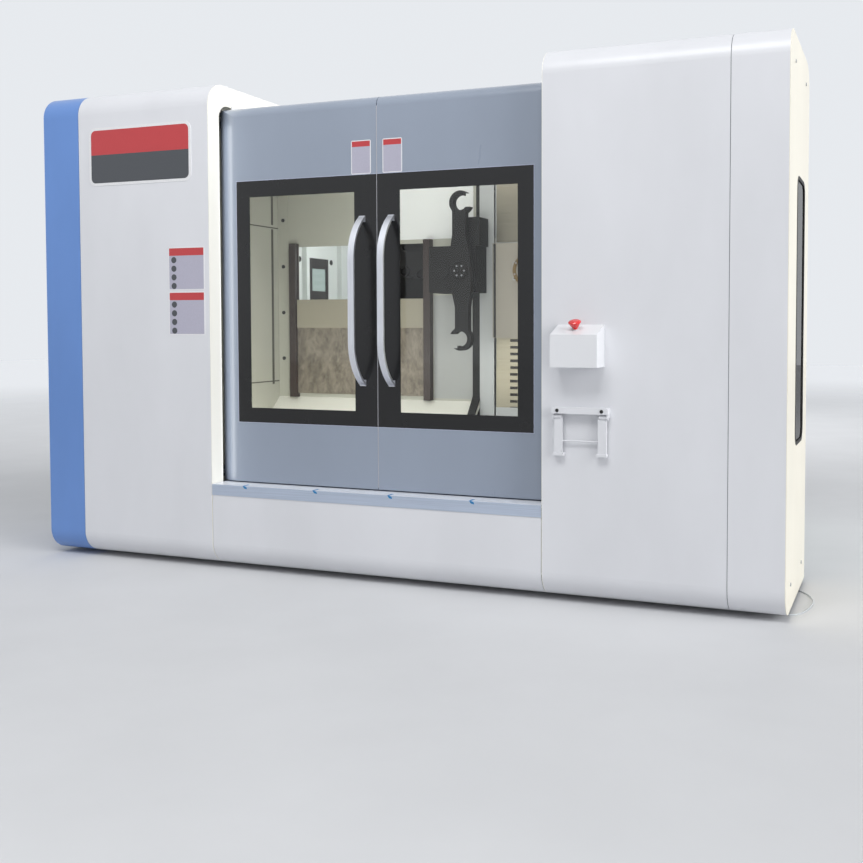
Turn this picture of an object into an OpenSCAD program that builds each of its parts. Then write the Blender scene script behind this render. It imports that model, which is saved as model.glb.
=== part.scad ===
// Horizontal machining centre in a sheet-metal enclosure.
// X runs along the front, Y runs back from the doors, Z is up, the floor is Z = 0.

/* [Covers] */
// Width of the blue cover at the left end
end_cover_w = 260; // [220:5:300]
// Width of the white cover left of the doors
left_cover_w = 912; // [900:2:950]
// Width of the door bay
bay_w = 1960; // [1960:2:1980]
// Width of the wide cover right of the doors
right_cover_w = 913; // [900:1:950]
// Width of the narrow cover at the right end
corner_cover_w = 265; // [230:5:300]
// Height of the covers above their lower edge
cover_h = 2700; // [2680:5:2760]
// Gap between the floor and the covers
skirt_gap = 25; // [20:1:35]
// Depth of the two front housings
housing_d = 890; // [860:5:920]
// Radius of the large rounded cover edges
cover_r = 130; // [100:5:150]
// Thickness of the sheet metal
sheet = 3; // [2:0.5:4]
// Seam between neighbouring covers
seam = 3; // [2:0.5:5]
// Depth from the front covers to the back of the electrical cabinet
body_d = 3275; // [3250:5:3400]

/* [Doors] */
// Depth of the door faces behind the front covers
door_face = 118; // [115:1:125]
// Thickness of a door leaf
door_t = 60; // [55:1:62]
// Width of one door leaf
door_w = 1035; // [1030:1:1040]
// Drop from the covers' top to the top of the door leaves
door_drop = 131; // [125:1:140]
// Radius of the rounded top edge of a leaf
door_r = 56; // [40:2:56]
// Radius of the wide roll along a leaf's outer edge
door_edge_r = 180; // [170:5:180]
// Gap between the two leaves, which is also their clearance all round
door_gap = 4; // [3:1:6]
// How far a leaf slides open
door_travel = 820; // [700:10:825]
// Width of the printed black window border, outside to outside
window_w = 886; // [860:2:890]
// Height of the printed black window border, outside to outside
window_h = 1348; // [1300:4:1400]
// Width of the border beside the handle
border_handle = 135; // [110:5:150]
// Width of the border on the other sides
border_side = 86; // [70:2:100]
// Length of a door handle
handle_len = 912; // [800:4:1000]
// Width of the flat handle bar
handle_w = 36; // [28:1:44]
// Thickness of the flat handle bar
handle_t = 12; // [8:1:16]
// How far the handle bows out from the door
handle_bow = 130; // [100:5:130]

/* [Sill and apron] */
// Height of the sill above the covers' lower edge
sill_h = 461; // [455:1:465]
// Height of the folded sill lip
sill_lip = 60; // [40:2:80]

/* [Stop box and bracket] */
// Rise of the emergency stop box above the sill
stop_rise = 689; // [650:1:700]
// Width of the emergency stop box
stop_box_w = 233; // [200:1:260]
// Depth of the emergency stop box
stop_box_d = 125; // [115:1:140]
// Height of the box's front face
stop_box_h = 155; // [130:5:180]
// How much higher the box is at its back
stop_box_rise = 49; // [30:1:60]
// Radius of the mushroom button
button_r = 31; // [22:1:34]
// Travel of the mushroom button
button_travel = 5; // [3:0.5:6]
// Width of the folding bracket
bracket_w = 284; // [260:2:320]
// Length of the bracket's hanging arms
bracket_drop = 205; // [160:5:240]

/* [Work area] */
// Height of the spindle axis above the floor
spindle_z = 1720; // [1715:1:1725]
// Place of the spindle axis along X
spindle_x = 422; // [418:1:426]
// Vertical travel of the headstock
head_travel = 700; // [600:10:700]
// Travel of the table to each side
table_travel = 450; // [400:10:450]
// Travel of the saddle to each side
saddle_travel = 140; // [100:5:140]
// Edge length of the square pallet
pallet_w = 630; // [560:5:640]
// Thickness of the pallet
pallet_t = 80; // [70:1:90]
// Depth of the rear splash wall behind the front covers
rear_wall_y = 1500; // [1500:1:1502]
// Lift of the rear shutter
shutter_lift = 375; // [340:5:380]

/* [Tool changer] */
// Distance from the arm's shaft to a gripped tool
arm_reach = 432; // [425:1:436]
// Thickness of the arm
arm_t = 50; // [40:1:54]
// How far the arm plunges to pull the tools out
arm_plunge = 110; // [90:1:130]
// Radius of the circle of tool pots in the magazine
pot_circle_r = 390; // [380:1:395]
// Number of tool pots
pot_count = 20; // [16:1:20]

/* [Rear] */
// Depth from the front covers to the back of the column guard
guard_d = 2675; // [2660:5:2700]
// How far the column guard rises above the door leaves
guard_rise = 6; // [4:1:30]
// Width of the electrical cabinet
cabinet_w = 2000; // [1800:20:2100]
// Height of the electrical cabinet
cabinet_h = 2040; // [1900:10:2100]

/* [Hidden] */
$fn = 64;

white_paint = [0.93, 0.94, 0.96];
cream_paint = [0.90, 0.87, 0.80];
blue_paint = [0.40, 0.57, 0.80];
door_paint = [0.57, 0.61, 0.68];
black_gloss = [0.06, 0.06, 0.07];
cast_grey = [0.45, 0.48, 0.50];
steel = [0.75, 0.77, 0.80];
clear_pane = [0.75, 0.82, 0.80, 0.4];

over = 1;
fit = 0.4;
run_fit = 0.05;

// Places along X
overall_w = end_cover_w + left_cover_w + bay_w + right_cover_w + corner_cover_w;
left_x = -overall_w / 2;
left_seam_x = left_x + end_cover_w;
bay_x0 = left_seam_x + left_cover_w;
bay_x1 = bay_x0 + bay_w;
right_seam_x = bay_x1 + right_cover_w;
right_x = right_seam_x + corner_cover_w;

// Places along Y: every depth below counts from the front covers' plane
front_y = -(body_d + stop_box_d) / 2 + stop_box_d;
function fy(depth) = front_y + depth;

// Heights
cover_z0 = skirt_gap;
cover_z1 = skirt_gap + cover_h;
sill_z = cover_z0 + sill_h;
door_z0 = sill_z + 6;
door_z1 = cover_z1 - door_drop;
door_h = door_z1 - door_z0;
guard_top = door_z1 + guard_rise;

// Doors
door_split = bay_x0 + 988;
door_back = door_face + door_t;
rail_size = 20;
rail_y = door_back + 12;
beam_y = rail_y + rail_size;
beam_t = 40;
pocket_y = beam_y + beam_t + 5;
door_slot = 20;
window_z0 = door_z0 + 338;
window_z1 = window_z0 + window_h;
border_top = 90;
border_bottom = 82;
pane_t = 8;
border_t = 2;

// Work area
wall_x0 = bay_x0 - 565;
wall_x1 = bay_x1 + 453;
work_floor_z = 470;
cover_band_w = 570;
cover_layer = 3;
layer_0 = rear_wall_y - 38;
layer_1 = layer_0 + cover_layer + fit;
layer_2 = layer_1 + cover_layer + fit;
layer_3 = layer_2 + cover_layer + fit;
head_top = spindle_z + 182;
head_bottom = spindle_z - 427;
neck_top = spindle_z + 140;
neck_bottom = spindle_z - 160;
head_front = rear_wall_y - 100;
nose_y = rear_wall_y - 210;
nose_r = 105;
quill_r = 60;
way_front = rear_wall_y;
column_front = rear_wall_y + 60;
column_back = column_front + 740;
column_w = 660;
leg_w = 180;
column_top = 2300;
bed_z = 75;
bed_top = 400;
bed_y0 = 300;
way_top = 430;
way_w = 110;
column_way_w = 100;
column_beam_h = 180;
column_foot_half = 370;
head_slide_half = 300;
head_slide_z0 = neck_bottom - 60;
column_base_top = head_slide_z0 - head_travel - 180;
screw_x = spindle_x - 175;
screw_y = column_front - 30;
screw_r = 20;

// Table
table_y = 790;
bed_x0 = spindle_x - 811;
bed_x1 = spindle_x + 809;
slide_half = 330;
saddle_half_x = slide_half + table_travel + 70;
saddle_body_half = 160;
bed_way_y0 = table_y - saddle_body_half - saddle_travel - 40;
bed_way_y1 = table_y + saddle_body_half + saddle_travel + 160;
saddle_lip_half = 350;
saddle_top = 540;
slide_way_top = 570;
slide_top = 650;
pallet_z = 732;
deck_z = 425;

// Tool changer
arm_y = rear_wall_y - 250;
hub_x = spindle_x - arm_reach;
claw_r = 75;
grip_r = 48;
arm_shaft_r = 28;
pot_x = hub_x - arm_reach;
disc_z = spindle_z + pot_circle_r;

// Rear shutter
post_w = 50;
post_d = 50;
shutter_x0 = spindle_x - 1800;
shutter_x1 = spindle_x - 804;
shutter_bottom = 897;
shutter_mid = 1357;
shutter_top = 1554;
opening_top = shutter_top + shutter_lift - 4;
post_z0 = 870;
post_z1 = shutter_top + shutter_lift + 19;

// Extrudes a Y-Z outline along X
module along_x(w) {
    rotate([90, 0, 90]) linear_extrude(w) children();
}

// A box between two corners
module block(a, b) {
    translate(a) cube([for (i = [0:2]) b[i] - a[i]]);
}

// A bar along Y
module bar_y(x, y0, y1, z, r) {
    translate([x, y1, z]) rotate([90, 0, 0]) cylinder(h = y1 - y0, r = r);
}

// Y-Z outline of a front housing, drawn inwards by an inset
module side_shape(inset = 0) {
    translate([cover_r, inset]) square([housing_d - 2 * cover_r, cover_h - 2 * inset]);
    translate([inset, cover_r]) square([housing_d - 2 * inset, cover_h - 2 * cover_r]);
    translate([housing_d - cover_r, inset]) square([cover_r - inset, cover_r]);
    for (p = [[cover_r, cover_r], [cover_r, cover_h - cover_r], [housing_d - cover_r, cover_h - cover_r]])
        translate(p) circle(cover_r - inset);
}

// Y-Z section of a folded cover: roof, front and lower return
module cover_section() {
    difference() {
        side_shape();
        side_shape(sheet);
        translate([housing_d - cover_r, -over]) square([cover_r + over, cover_h + 2 * over]);
        translate([cover_r + 60, -over]) square([housing_d, cover_r]);
    }
}

// A folded cover of one width, set back at its ends by half a seam
module folded_cover(x0, x1) {
    translate([x0, fy(0), cover_z0]) along_x(x1 - x0) cover_section();
}

// A plate with the housing's outline, closing its side
module side_plate(x0) {
    translate([x0, fy(0), cover_z0]) along_x(sheet) side_shape();
}

// A square tube ring that follows the housing's outline
module rib(x, size = 40) {
    translate([x, fy(0), cover_z0]) along_x(size) difference() {
        side_shape(sheet);
        side_shape(sheet + size);
    }
}

rib_size = 40;
foot_xs = [left_x + 120, left_seam_x, bay_x0 - 60, bay_x1 + 60, right_seam_x, right_x - 120];
beam_front = cover_r + 110;
beam_rear = housing_d - sheet - rib_size;
frame_foot_r = 35;
anchor_x = 640;
anchor_y0 = 400;
anchor_y1 = 1200;
anchor_offset = 75;
anchor_hole_r = 11;

// Pads and studs that carry the frame, and anchored pads that carry the bed
module levelling_feet() {
    color(steel) {
        for (x = foot_xs, y = [beam_front + rib_size / 2, beam_rear + rib_size / 2])
            translate([x, fy(y), 0]) {
                cylinder(h = 12, r = frame_foot_r);
                cylinder(h = cover_z0 + sheet, r = 12);
            }
        for (side = [-1, 1], y = [anchor_y0, (anchor_y0 + anchor_y1) / 2, anchor_y1])
            translate([spindle_x + side * anchor_x, fy(y), 0]) bed_foot(side);
        for (side = [-1, 1])
            translate([spindle_x + side * 240, fy(column_back - 160), 0]) bed_foot(side);
    }
}

// One bed pad with its stud and an anchor hole beside it
module bed_foot(side) {
    difference() {
        translate([-120, -60, 0]) cube([240, 120, 20]);
        translate([side * anchor_offset, 0, -over]) cylinder(h = 20 + 2 * over, r = anchor_hole_r);
    }
    cylinder(h = bed_z, r = 18);
    translate([0, 0, bed_z - 22]) cylinder(h = 14, r = 30, $fn = 6);
}

// T-shaped cast bed with box ways for the saddle and cored sides
module bed_casting() {
    color(cast_grey) difference() {
        union() {
            block([bed_x0, fy(bed_y0), bed_z], [bed_x1, fy(rear_wall_y - 50), bed_top]);
            block([spindle_x - column_foot_half, fy(rear_wall_y - 51), bed_z],
                [spindle_x + column_foot_half, fy(column_back + 60), way_top]);
            for (side = [-1, 1])
                translate([spindle_x + side * slide_half - way_w / 2, fy(bed_way_y0), bed_top - over])
                    cube([way_w, bed_way_y1 - bed_way_y0, way_top - bed_top + over]);
        }
        for (i = [0:3])
            translate([bed_x0 + 110 + i * 370, fy(bed_y0) - over, bed_z + 70]) cube([290, 140, 180]);
        for (i = [0:2])
            translate([bed_x0 - over, fy(330 + i * 370), bed_z + 70]) cube([90, 300, 180]);
        for (i = [0:2])
            translate([bed_x1 - 89, fy(330 + i * 370), bed_z + 70]) cube([90, 300, 180]);
    }
}

header_z0 = door_z1 - 80;
lower_beam_z0 = sill_z + 14;
side_rail_zs = [sill_z + 630, sill_z + 1034];

// Welded tube frame: ribs under the cover seams, sill beams and door beams
module enclosure_frame() {
    color(steel) {
        difference() {
            union() {
                for (x = [left_x + sheet, left_seam_x - 20, right_seam_x - 20, right_x - sheet - rib_size])
                    rib(x, rib_size);
                for (x = [bay_x0 - sheet - rib_size, bay_x1 + sheet])
                    difference() {
                        rib(x, rib_size);
                        block([x - over, fy(door_face), work_floor_z - 8],
                            [x + rib_size + over, fy(housing_d), door_z1 + 6]);
                        block([x - over, fy(pocket_y), cover_z0 + sheet + rib_size],
                            [x + rib_size + over, fy(housing_d), work_floor_z]);
                    }
                for (p = hose_sockets)
                    block([p[0] - 12, fy(p[1] - 12), hose_end_z],
                        [right_x - sheet - 2, fy(p[1] + 12), hose_end_z + 14]);
                for (y = [beam_front, beam_rear])
                    block([left_x + sheet, fy(y), cover_z0 + sheet],
                        [right_x - sheet, fy(y + rib_size), cover_z0 + sheet + rib_size]);
                block([left_seam_x, fy(beam_y), header_z0],
                    [right_seam_x, fy(beam_y + beam_t), header_z0 + 80]);
                block([left_seam_x, fy(beam_y), lower_beam_z0],
                    [right_seam_x, fy(beam_y + beam_t), lower_beam_z0 + 60]);
                for (x = [left_seam_x - 20, right_seam_x - 20], z = [header_z0, lower_beam_z0])
                    block([x, fy(sheet + 1), z], [x + rib_size, fy(housing_d - sheet - 1), z + rib_size]);
                for (z = side_rail_zs)
                    block([right_x - sheet - rib_size, fy(sheet + 1), z],
                        [right_x - sheet - 6, fy(housing_d - sheet - 1), z + 60]);
                for (x = [bay_x0 + 200, bay_x1 - 240])
                    block([x, fy(sheet), cover_z0 + sheet],
                        [x + rib_size, fy(sheet + rib_size), sill_z - sheet]);
                for (x = [bay_x0 + 200, bay_x1 - 240])
                    block([x, fy(sheet), cover_z0 + cover_r],
                        [x + rib_size, fy(beam_front + rib_size), cover_z0 + cover_r + rib_size]);
                for (x = [bay_x0 + 200, bay_x1 - 240])
                    block([x, fy(beam_front), cover_z0 + sheet],
                        [x + rib_size, fy(beam_front + rib_size), cover_z0 + cover_r + rib_size]);
            }
            for (x = [bay_x0 + 200, bay_x1 - 240])
                translate([x - over, fy(0), cover_z0]) along_x(rib_size + 2 * over) difference() {
                    square(cover_r);
                    translate([cover_r, cover_r]) circle(cover_r - sheet);
                }
        }
    }
}

// Blue folded cover with its closed left side
module end_cover_left() {
    color(blue_paint) {
        folded_cover(left_x, left_seam_x - seam / 2);
        side_plate(left_x);
    }
}

eye_x = bay_x0 - 70;
eye_y = 260;
eye_ring_r = 10;
eye_wire_r = 4;

// Eye bolt on the roof that the cover is lifted by
module lifting_eye() {
    cylinder(h = 6 + over, r = 12);
    translate([0, 0, 5 + eye_ring_r + over]) rotate([90, 0, 0])
        rotate_extrude() translate([eye_ring_r, 0]) circle(eye_wire_r, $fn = 16);
}

// White folded cover left of the doors
module front_cover_left() {
    color(white_paint) {
        folded_cover(left_seam_x + seam / 2, bay_x0 - sheet);
        translate([eye_x, fy(eye_y), cover_z1 - over]) lifting_eye();
    }
}

// Y-Z outline of the slot that the doors slide through, with a corner that follows the leaf
module slot_shape() {
    corner = door_r + door_slot;
    y0 = door_face - door_slot;
    z1 = door_z1 + door_slot;
    translate([y0, sill_z - 6]) square([housing_d + over - y0, z1 - corner - sill_z + 6]);
    translate([y0 + corner, sill_z - 6]) square([housing_d + over - y0 - corner, z1 - sill_z + 6]);
    translate([y0 + corner, z1 - corner]) circle(corner);
}

// White walls beside the door bay, cut away where the doors slide through
module inner_walls() {
    color(white_paint)
        for (x = [bay_x0 - sheet, bay_x1])
            difference() {
                side_plate(x);
                translate([x - over, fy(0), 0]) along_x(sheet + 2 * over) slot_shape();
                block([x - over, fy(beam_front - 4), -over],
                    [x + sheet + over, fy(housing_d) + over, sill_z]);
            }
}

// White apron under the sill, with the large rounded lower edge
module door_apron() {
    color(white_paint) intersection() {
        folded_cover(bay_x0 + seam, bay_x1 - seam);
        block([bay_x0, fy(-over), 0], [bay_x1, fy(housing_d), sill_z - 6]);
    }
}

// Folded stainless sill with a front lip and a low back edge
module door_sill() {
    color(steel) {
        block([bay_x0 + seam / 2, fy(-sheet), sill_z - sheet],
            [bay_x1 - seam / 2, fy(beam_y + beam_t), sill_z]);
        block([bay_x0 + seam / 2, fy(-sheet), sill_z - sill_lip], [bay_x1 - seam / 2, fy(0), sill_z]);
        block([bay_x0 + seam / 2, fy(beam_y + beam_t - 8), sill_z - sheet],
            [bay_x1 - seam / 2, fy(beam_y + beam_t), lower_beam_z0]);
    }
}

rail_zs = [header_z0 + 30, lower_beam_z0 + 20];
edge_run = sqrt(door_edge_r * door_edge_r - pow(door_edge_r - door_t, 2));
carriage_x = edge_run + 40;
rail_reach = door_w + door_travel - carriage_x + 20;

// Two straight rails that the door carriages run on
module door_rails() {
    color(steel)
        for (z = rail_zs)
            block([door_split - rail_reach, fy(rail_y), z],
                [door_split + rail_reach, fy(beam_y), z + rail_size]);
}

// White folded cover right of the doors
module front_cover_right() {
    color(white_paint) folded_cover(bay_x1 + sheet, right_seam_x - seam / 2);
}

// White narrow cover at the right end
module corner_cover_right() {
    color(white_paint) folded_cover(right_seam_x + seam / 2, right_x - sheet);
}

side_window_y0 = 345;
side_window_w = 340;
side_window_z0 = 800;
side_window_h = 1285;
side_window_r = 60;

// Outline of the side window, grown by a margin
module window_outline(margin = 0) {
    r = side_window_r + margin;
    w = side_window_w + 2 * margin;
    h = side_window_h + 2 * margin;
    translate([side_window_y0 - margin, side_window_z0 - margin]) {
        translate([r, 0]) square([w - 2 * r, h]);
        translate([0, r]) square([w, h - 2 * r]);
        for (y = [r, w - r], z = [r, h - r]) translate([y, z]) circle(r);
    }
}

// Cream side panel with a tall round-cornered window
module side_panel_right() {
    color(cream_paint) difference() {
        side_plate(right_x - sheet);
        translate([right_x - sheet - over, fy(0), 0]) along_x(sheet + 2 * over) window_outline();
    }
}

// Pane behind the side window
module side_window() {
    color(clear_pane) translate([right_x - sheet - 5, fy(0), 0]) along_x(5) window_outline(20);
}

guard_x0 = wall_x0 - 52;
guard_x1 = right_x - 330;
guard_y0 = housing_d - 30;

// Rear closing panels of the two housings, with the rounded rear edge
module housing_backs() {
    color(white_paint)
        for (span = [[left_x + sheet, bay_x0 - sheet], [bay_x1 + sheet, right_x - sheet]])
            difference() {
                translate([span[0], fy(0), cover_z0]) along_x(span[1] - span[0]) intersection() {
                    difference() {
                        side_shape();
                        side_shape(sheet);
                    }
                    translate([housing_d - cover_r, sheet]) square([cover_r + over, cover_h]);
                }
                block([guard_x0 - seam, fy(housing_d - cover_r - over), -over],
                    [guard_x1 + seam, fy(housing_d + over), door_z1 + 6]);
            }
}

// Roof over the front of the work area, resting on the door header
module work_roof() {
    color(white_paint) {
        block([bay_x0 + seam / 2, fy(beam_y), door_z1],
            [bay_x1 - seam / 2, fy(housing_d - 2 * seam), door_z1 + sheet]);
        block([bay_x0 + seam / 2, fy(beam_y), door_z1],
            [bay_x0 + seam / 2 + sheet, fy(guard_y0 - over), door_z1 + 30]);
        block([bay_x1 - seam / 2 - sheet, fy(beam_y), door_z1],
            [bay_x1 - seam / 2, fy(guard_y0 - over), door_z1 + 30]);
    }
}

// Cream walls at both sides of the work area, with returns behind the door pockets
module splash_walls() {
    color(cream_paint) {
        block([wall_x0 - sheet, fy(pocket_y), work_floor_z], [wall_x0, fy(rear_wall_y), door_z1]);
        block([wall_x0, fy(pocket_y), work_floor_z], [bay_x0 - 20, fy(pocket_y + sheet), door_z1]);
        block([wall_x1, fy(pocket_y), work_floor_z], [wall_x1 + sheet, fy(rear_wall_y), door_z1]);
        block([bay_x1 + 20, fy(pocket_y), work_floor_z], [wall_x1, fy(pocket_y + sheet), door_z1]);
        block([bay_x0 - 60, fy(beam_y + beam_t), lower_beam_z0],
            [bay_x0 - 20, fy(pocket_y), lower_beam_z0 + 60]);
        block([bay_x1 + 20, fy(beam_y + beam_t), lower_beam_z0],
            [bay_x1 + 60, fy(pocket_y), lower_beam_z0 + 60]);
    }
}

panel_x0 = spindle_x - 400;
panel_x1 = spindle_x + 400;
slope_y = rear_wall_y - 120;
slope_z = 797;

// Cream wall behind the work area, with the shutter opening
module rear_splash_wall() {
    color(cream_paint) {
        difference() {
            block([wall_x0 - sheet, fy(rear_wall_y), post_z0],
                [panel_x0 - 2, fy(rear_wall_y + sheet), door_z1]);
            block([shutter_x0, fy(rear_wall_y) - over, shutter_top],
                [shutter_x1, fy(rear_wall_y + sheet) + over, opening_top]);
        }
        block([panel_x1 + 2, fy(rear_wall_y), post_z0], [wall_x1 + sheet, fy(rear_wall_y + sheet), door_z1]);
    }
}

// Section of the chute: a slope off the rear wall, a drop, and a floor to the front
module chute_section() {
    t = sheet;
    polygon([[rear_wall_y, post_z0], [rear_wall_y, post_z0 - t], [slope_y - t, slope_z - 40],
        [slope_y - t, work_floor_z], [pocket_y, work_floor_z], [pocket_y, work_floor_z - t],
        [slope_y, work_floor_z - t], [slope_y, slope_z - 40 - t], [rear_wall_y + t, post_z0 - 2 * t],
        [rear_wall_y + t, post_z0]]);
}

// Pale chute and floor plates that carry the chips off
module chip_chute() {
    color(cream_paint)
        for (span = [[wall_x0, bed_x0 - 60], [wall_x1 - 70, wall_x1]])
            translate([span[0], fy(0), 0]) along_x(span[1] - span[0]) chute_section();
    color(cream_paint)
        for (span = [[bed_x0 - 60, panel_x0 - 2], [panel_x1 + 2, wall_x1 - 70]])
            translate([span[0], fy(0), 0]) along_x(span[1] - span[0]) intersection() {
                chute_section();
                translate([slope_y - sheet, deck_z]) square([rear_wall_y, rear_wall_y]);
            }
    color(cream_paint) {
        block([bed_x0 - 60, fy(pocket_y), deck_z], [wall_x1 - 70, fy(445), deck_z + sheet]);
        block([bed_x0 - 60, fy(pocket_y), deck_z], [bed_x0 - 60 + sheet, fy(slope_y), work_floor_z]);
        block([wall_x1 - 70 - sheet, fy(pocket_y), deck_z], [wall_x1 - 70, fy(slope_y), work_floor_z]);
        block([bed_x0 + 10, fy(bed_way_y1 + 15), bed_top], [bed_x1 - 10, fy(slope_y), deck_z]);
    }
}

groove = 9;

// Dark guide posts at both sides of the shutter opening
module shutter_posts() {
    color([0.20, 0.13, 0.11])
        for (m = [0, 1])
            translate([m == 0 ? shutter_x0 : shutter_x1, 0, 0]) mirror([m, 0, 0]) difference() {
                block([-post_w, fy(rear_wall_y - post_d), post_z0], [0, fy(rear_wall_y), post_z1]);
                block([-groove, fy(rear_wall_y - 24), post_z0 + 20],
                    [over, fy(rear_wall_y - 8), post_z1 + over]);
            }
}

// Bare steel lower part of the rear shutter
module shutter_panel() {
    color([0.45, 0.42, 0.38])
        block([shutter_x0 - groove + 1, fy(rear_wall_y - 20), shutter_bottom],
            [shutter_x1 + groove - 1, fy(rear_wall_y - 8), shutter_mid]);
}

// Cream upper part of the rear shutter
module shutter_rail() {
    color(cream_paint) {
        block([shutter_x0 - groove + 1, fy(rear_wall_y - 20), shutter_mid],
            [shutter_x1 + groove - 1, fy(rear_wall_y - 8), shutter_top]);
        block([shutter_x0 + 6, fy(rear_wall_y - 38), shutter_mid],
            [shutter_x1 - 6, fy(rear_wall_y - 20), shutter_top]);
    }
}

// Portal column: two legs with box ways, a base and a top beam
module column_casting() {
    color(cast_grey) {
        difference() {
            block([spindle_x - column_w / 2, fy(column_front), way_top],
                [spindle_x + column_w / 2, fy(column_back), column_top]);
            block([spindle_x - column_w / 2 + leg_w, fy(column_front) - over, column_base_top],
                [spindle_x + column_w / 2 - leg_w, fy(column_back) + over, column_top - column_beam_h]);
            for (side = [-1, 1], i = [0:3])
                translate([spindle_x + side * column_w / 2 - 60, fy(column_front + 120), 700 + i * 400])
                    cube([120, 500, 300]);
        }
        for (side = [-1, 1])
            translate([spindle_x + side * 250 - column_way_w / 2, fy(way_front), column_base_top])
                cube([column_way_w, column_front - way_front + over, column_top - column_base_top]);
        for (z = [column_base_top - 30, column_top])
            block([screw_x - 45, fy(way_front + 2), z], [screw_x + 45, fy(column_front + 60), z + 30]);
    }
}

lower_panel_z0 = 500;
upper_panel_top = guard_top - 40;
upper_a_z0 = head_top + sheet;
upper_sheet_len = head_travel * 2 / 3 + 93;
sheet_len = head_travel / 3 + 67;
lower_a_top = head_bottom + 7;
lower_b_top = lower_a_top - sheet_len + 88;
lower_panel_top = lower_b_top - sheet_len + 52;

// Light grey fixed panels at both sides of the way covers, and the fixed end covers
module column_panels() {
    color([0.80, 0.81, 0.82]) {
        for (m = [0, 1])
            translate([spindle_x, 0, 0]) mirror([m, 0, 0]) {
                block([panel_x0 - spindle_x, fy(layer_0 + 4), lower_panel_z0],
                    [-head_slide_half + 2, fy(layer_0 + 8), upper_panel_top]);
                block([-column_w / 2 + 4, fy(layer_0 + 8), lower_panel_z0],
                    [-column_w / 2 + 8, fy(column_front), upper_panel_top - 300]);
            }
        block([spindle_x - cover_band_w / 2, fy(layer_0), lower_panel_z0],
            [spindle_x + cover_band_w / 2, fy(layer_0 + cover_layer), lower_panel_top]);
        block([spindle_x - cover_band_w / 2, fy(layer_0), lower_panel_z0],
            [spindle_x + cover_band_w / 2, fy(column_front), lower_panel_z0 + 4]);
        block([spindle_x - cover_band_w / 2, fy(layer_0), head_top + sheet],
            [spindle_x + cover_band_w / 2, fy(layer_0 + cover_layer), upper_panel_top]);
        for (m = [0, 1])
            translate([spindle_x, 0, 0]) mirror([m, 0, 0])
                block([-318, fy(layer_0), upper_panel_top], [0, fy(layer_0 + 8), upper_panel_top + 8]);
    }
}

// Black curtain strip beside the column, with a flap on the chute
module column_curtain() {
    x1 = panel_x0 + 30;
    color([0.05, 0.05, 0.06]) {
        block([panel_x0 - 53, fy(layer_0 + 8), post_z0 + 30], [x1, fy(layer_0 + 14), head_top]);
        block([panel_x0 - 26, fy(layer_0 + 8), head_top - over], [x1, fy(layer_0 + 14), upper_panel_top]);
        translate([panel_x0 - 53, fy(0), 0]) along_x(52) polygon([[layer_0 + 14, post_z0 + 36],
            [layer_0 + 8, post_z0 + 36], [slope_y - 20, slope_z - 30], [slope_y - 16, slope_z - 34],
            [layer_0 + 14, post_z0 + 22]]);
    }
}

// Headstock: front box, neck through the way covers, slide and spindle housing
module headstock() {
    box_w = cover_band_w - 8;
    color([0.55, 0.53, 0.50]) difference() {
        union() {
            block([spindle_x - box_w / 2, fy(head_front), head_bottom],
                [spindle_x + box_w / 2, fy(layer_0 - fit), head_top]);
            bar_y(spindle_x, fy(nose_y + 15), fy(head_front + 1), spindle_z, nose_r);
            bar_y(spindle_x, fy(head_front - 30), fy(head_front + 1), spindle_z, nose_r + 40);
            block([spindle_x - 130, fy(layer_0 - 1), neck_bottom],
                [spindle_x + 130, fy(way_front - 10), neck_top]);
            block([spindle_x - cover_band_w / 2 + 4, fy(layer_3), neck_top - 1],
                [spindle_x + cover_band_w / 2 - 4, fy(layer_3 + cover_layer), neck_top + 340]);
            block([spindle_x - 125, fy(layer_3), neck_top - 20],
                [spindle_x + 125, fy(way_front - 10), neck_top]);
            block([spindle_x - head_slide_half, fy(layer_3 + cover_layer + 4), head_slide_z0],
                [spindle_x + head_slide_half, fy(way_front - fit), neck_top + 80]);
            block([spindle_x - 125, fy(layer_3), neck_bottom], [spindle_x + 125, fy(layer_3 + 8), neck_top]);
            bar_y(spindle_x, fy(way_front - 2), fy(column_front + 500), spindle_z, 140);
        }
        bar_y(spindle_x, fy(nose_y), fy(column_front + 420), spindle_z, quill_r + run_fit);
    }
}

taper_r = 35;

// Spindle with its nose flange and a 7:24 tool taper
module spindle() {
    color(steel) difference() {
        union() {
            bar_y(spindle_x, fy(nose_y), fy(nose_y + 14), spindle_z, nose_r - 41);
            bar_y(spindle_x, fy(nose_y + 13), fy(column_front + 420), spindle_z, quill_r);
        }
        translate([spindle_x, fy(nose_y) - 0.01, spindle_z]) rotate([-90, 0, 0])
            cylinder(h = 102, r1 = taper_r, r2 = taper_r - 102 * 7 / 48);
        for (side = [-1, 1])
            translate([spindle_x + side * 50 - 8, fy(nose_y) - over, spindle_z - 12]) cube([16, 9, 24]);
    }
}

// One sliding sheet of the telescopic way cover
module way_cover_sheet(layer, z0, z1) {
    half = cover_band_w / 2 - 2;
    color([0.72, 0.72, 0.70])
        block([spindle_x - half, fy(layer), z0], [spindle_x + half, fy(layer + cover_layer), z1]);
}

module head_cover_upper_a() {
    way_cover_sheet(layer_2, upper_a_z0, upper_a_z0 + upper_sheet_len);
}

module head_cover_upper_b() {
    way_cover_sheet(layer_1, upper_a_z0, upper_a_z0 + upper_sheet_len);
}

module head_cover_lower_a() {
    way_cover_sheet(layer_2, lower_a_top - sheet_len, lower_a_top);
}

module head_cover_lower_b() {
    way_cover_sheet(layer_1, lower_b_top - sheet_len, lower_b_top);
}

// Fixed vertical ball screw that the headstock climbs
module head_ball_screw() {
    color(steel) translate([screw_x, fy(screw_y), column_base_top])
        cylinder(h = column_top - column_base_top, r = screw_r);
}

nut_z = spindle_z + 145;

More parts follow.
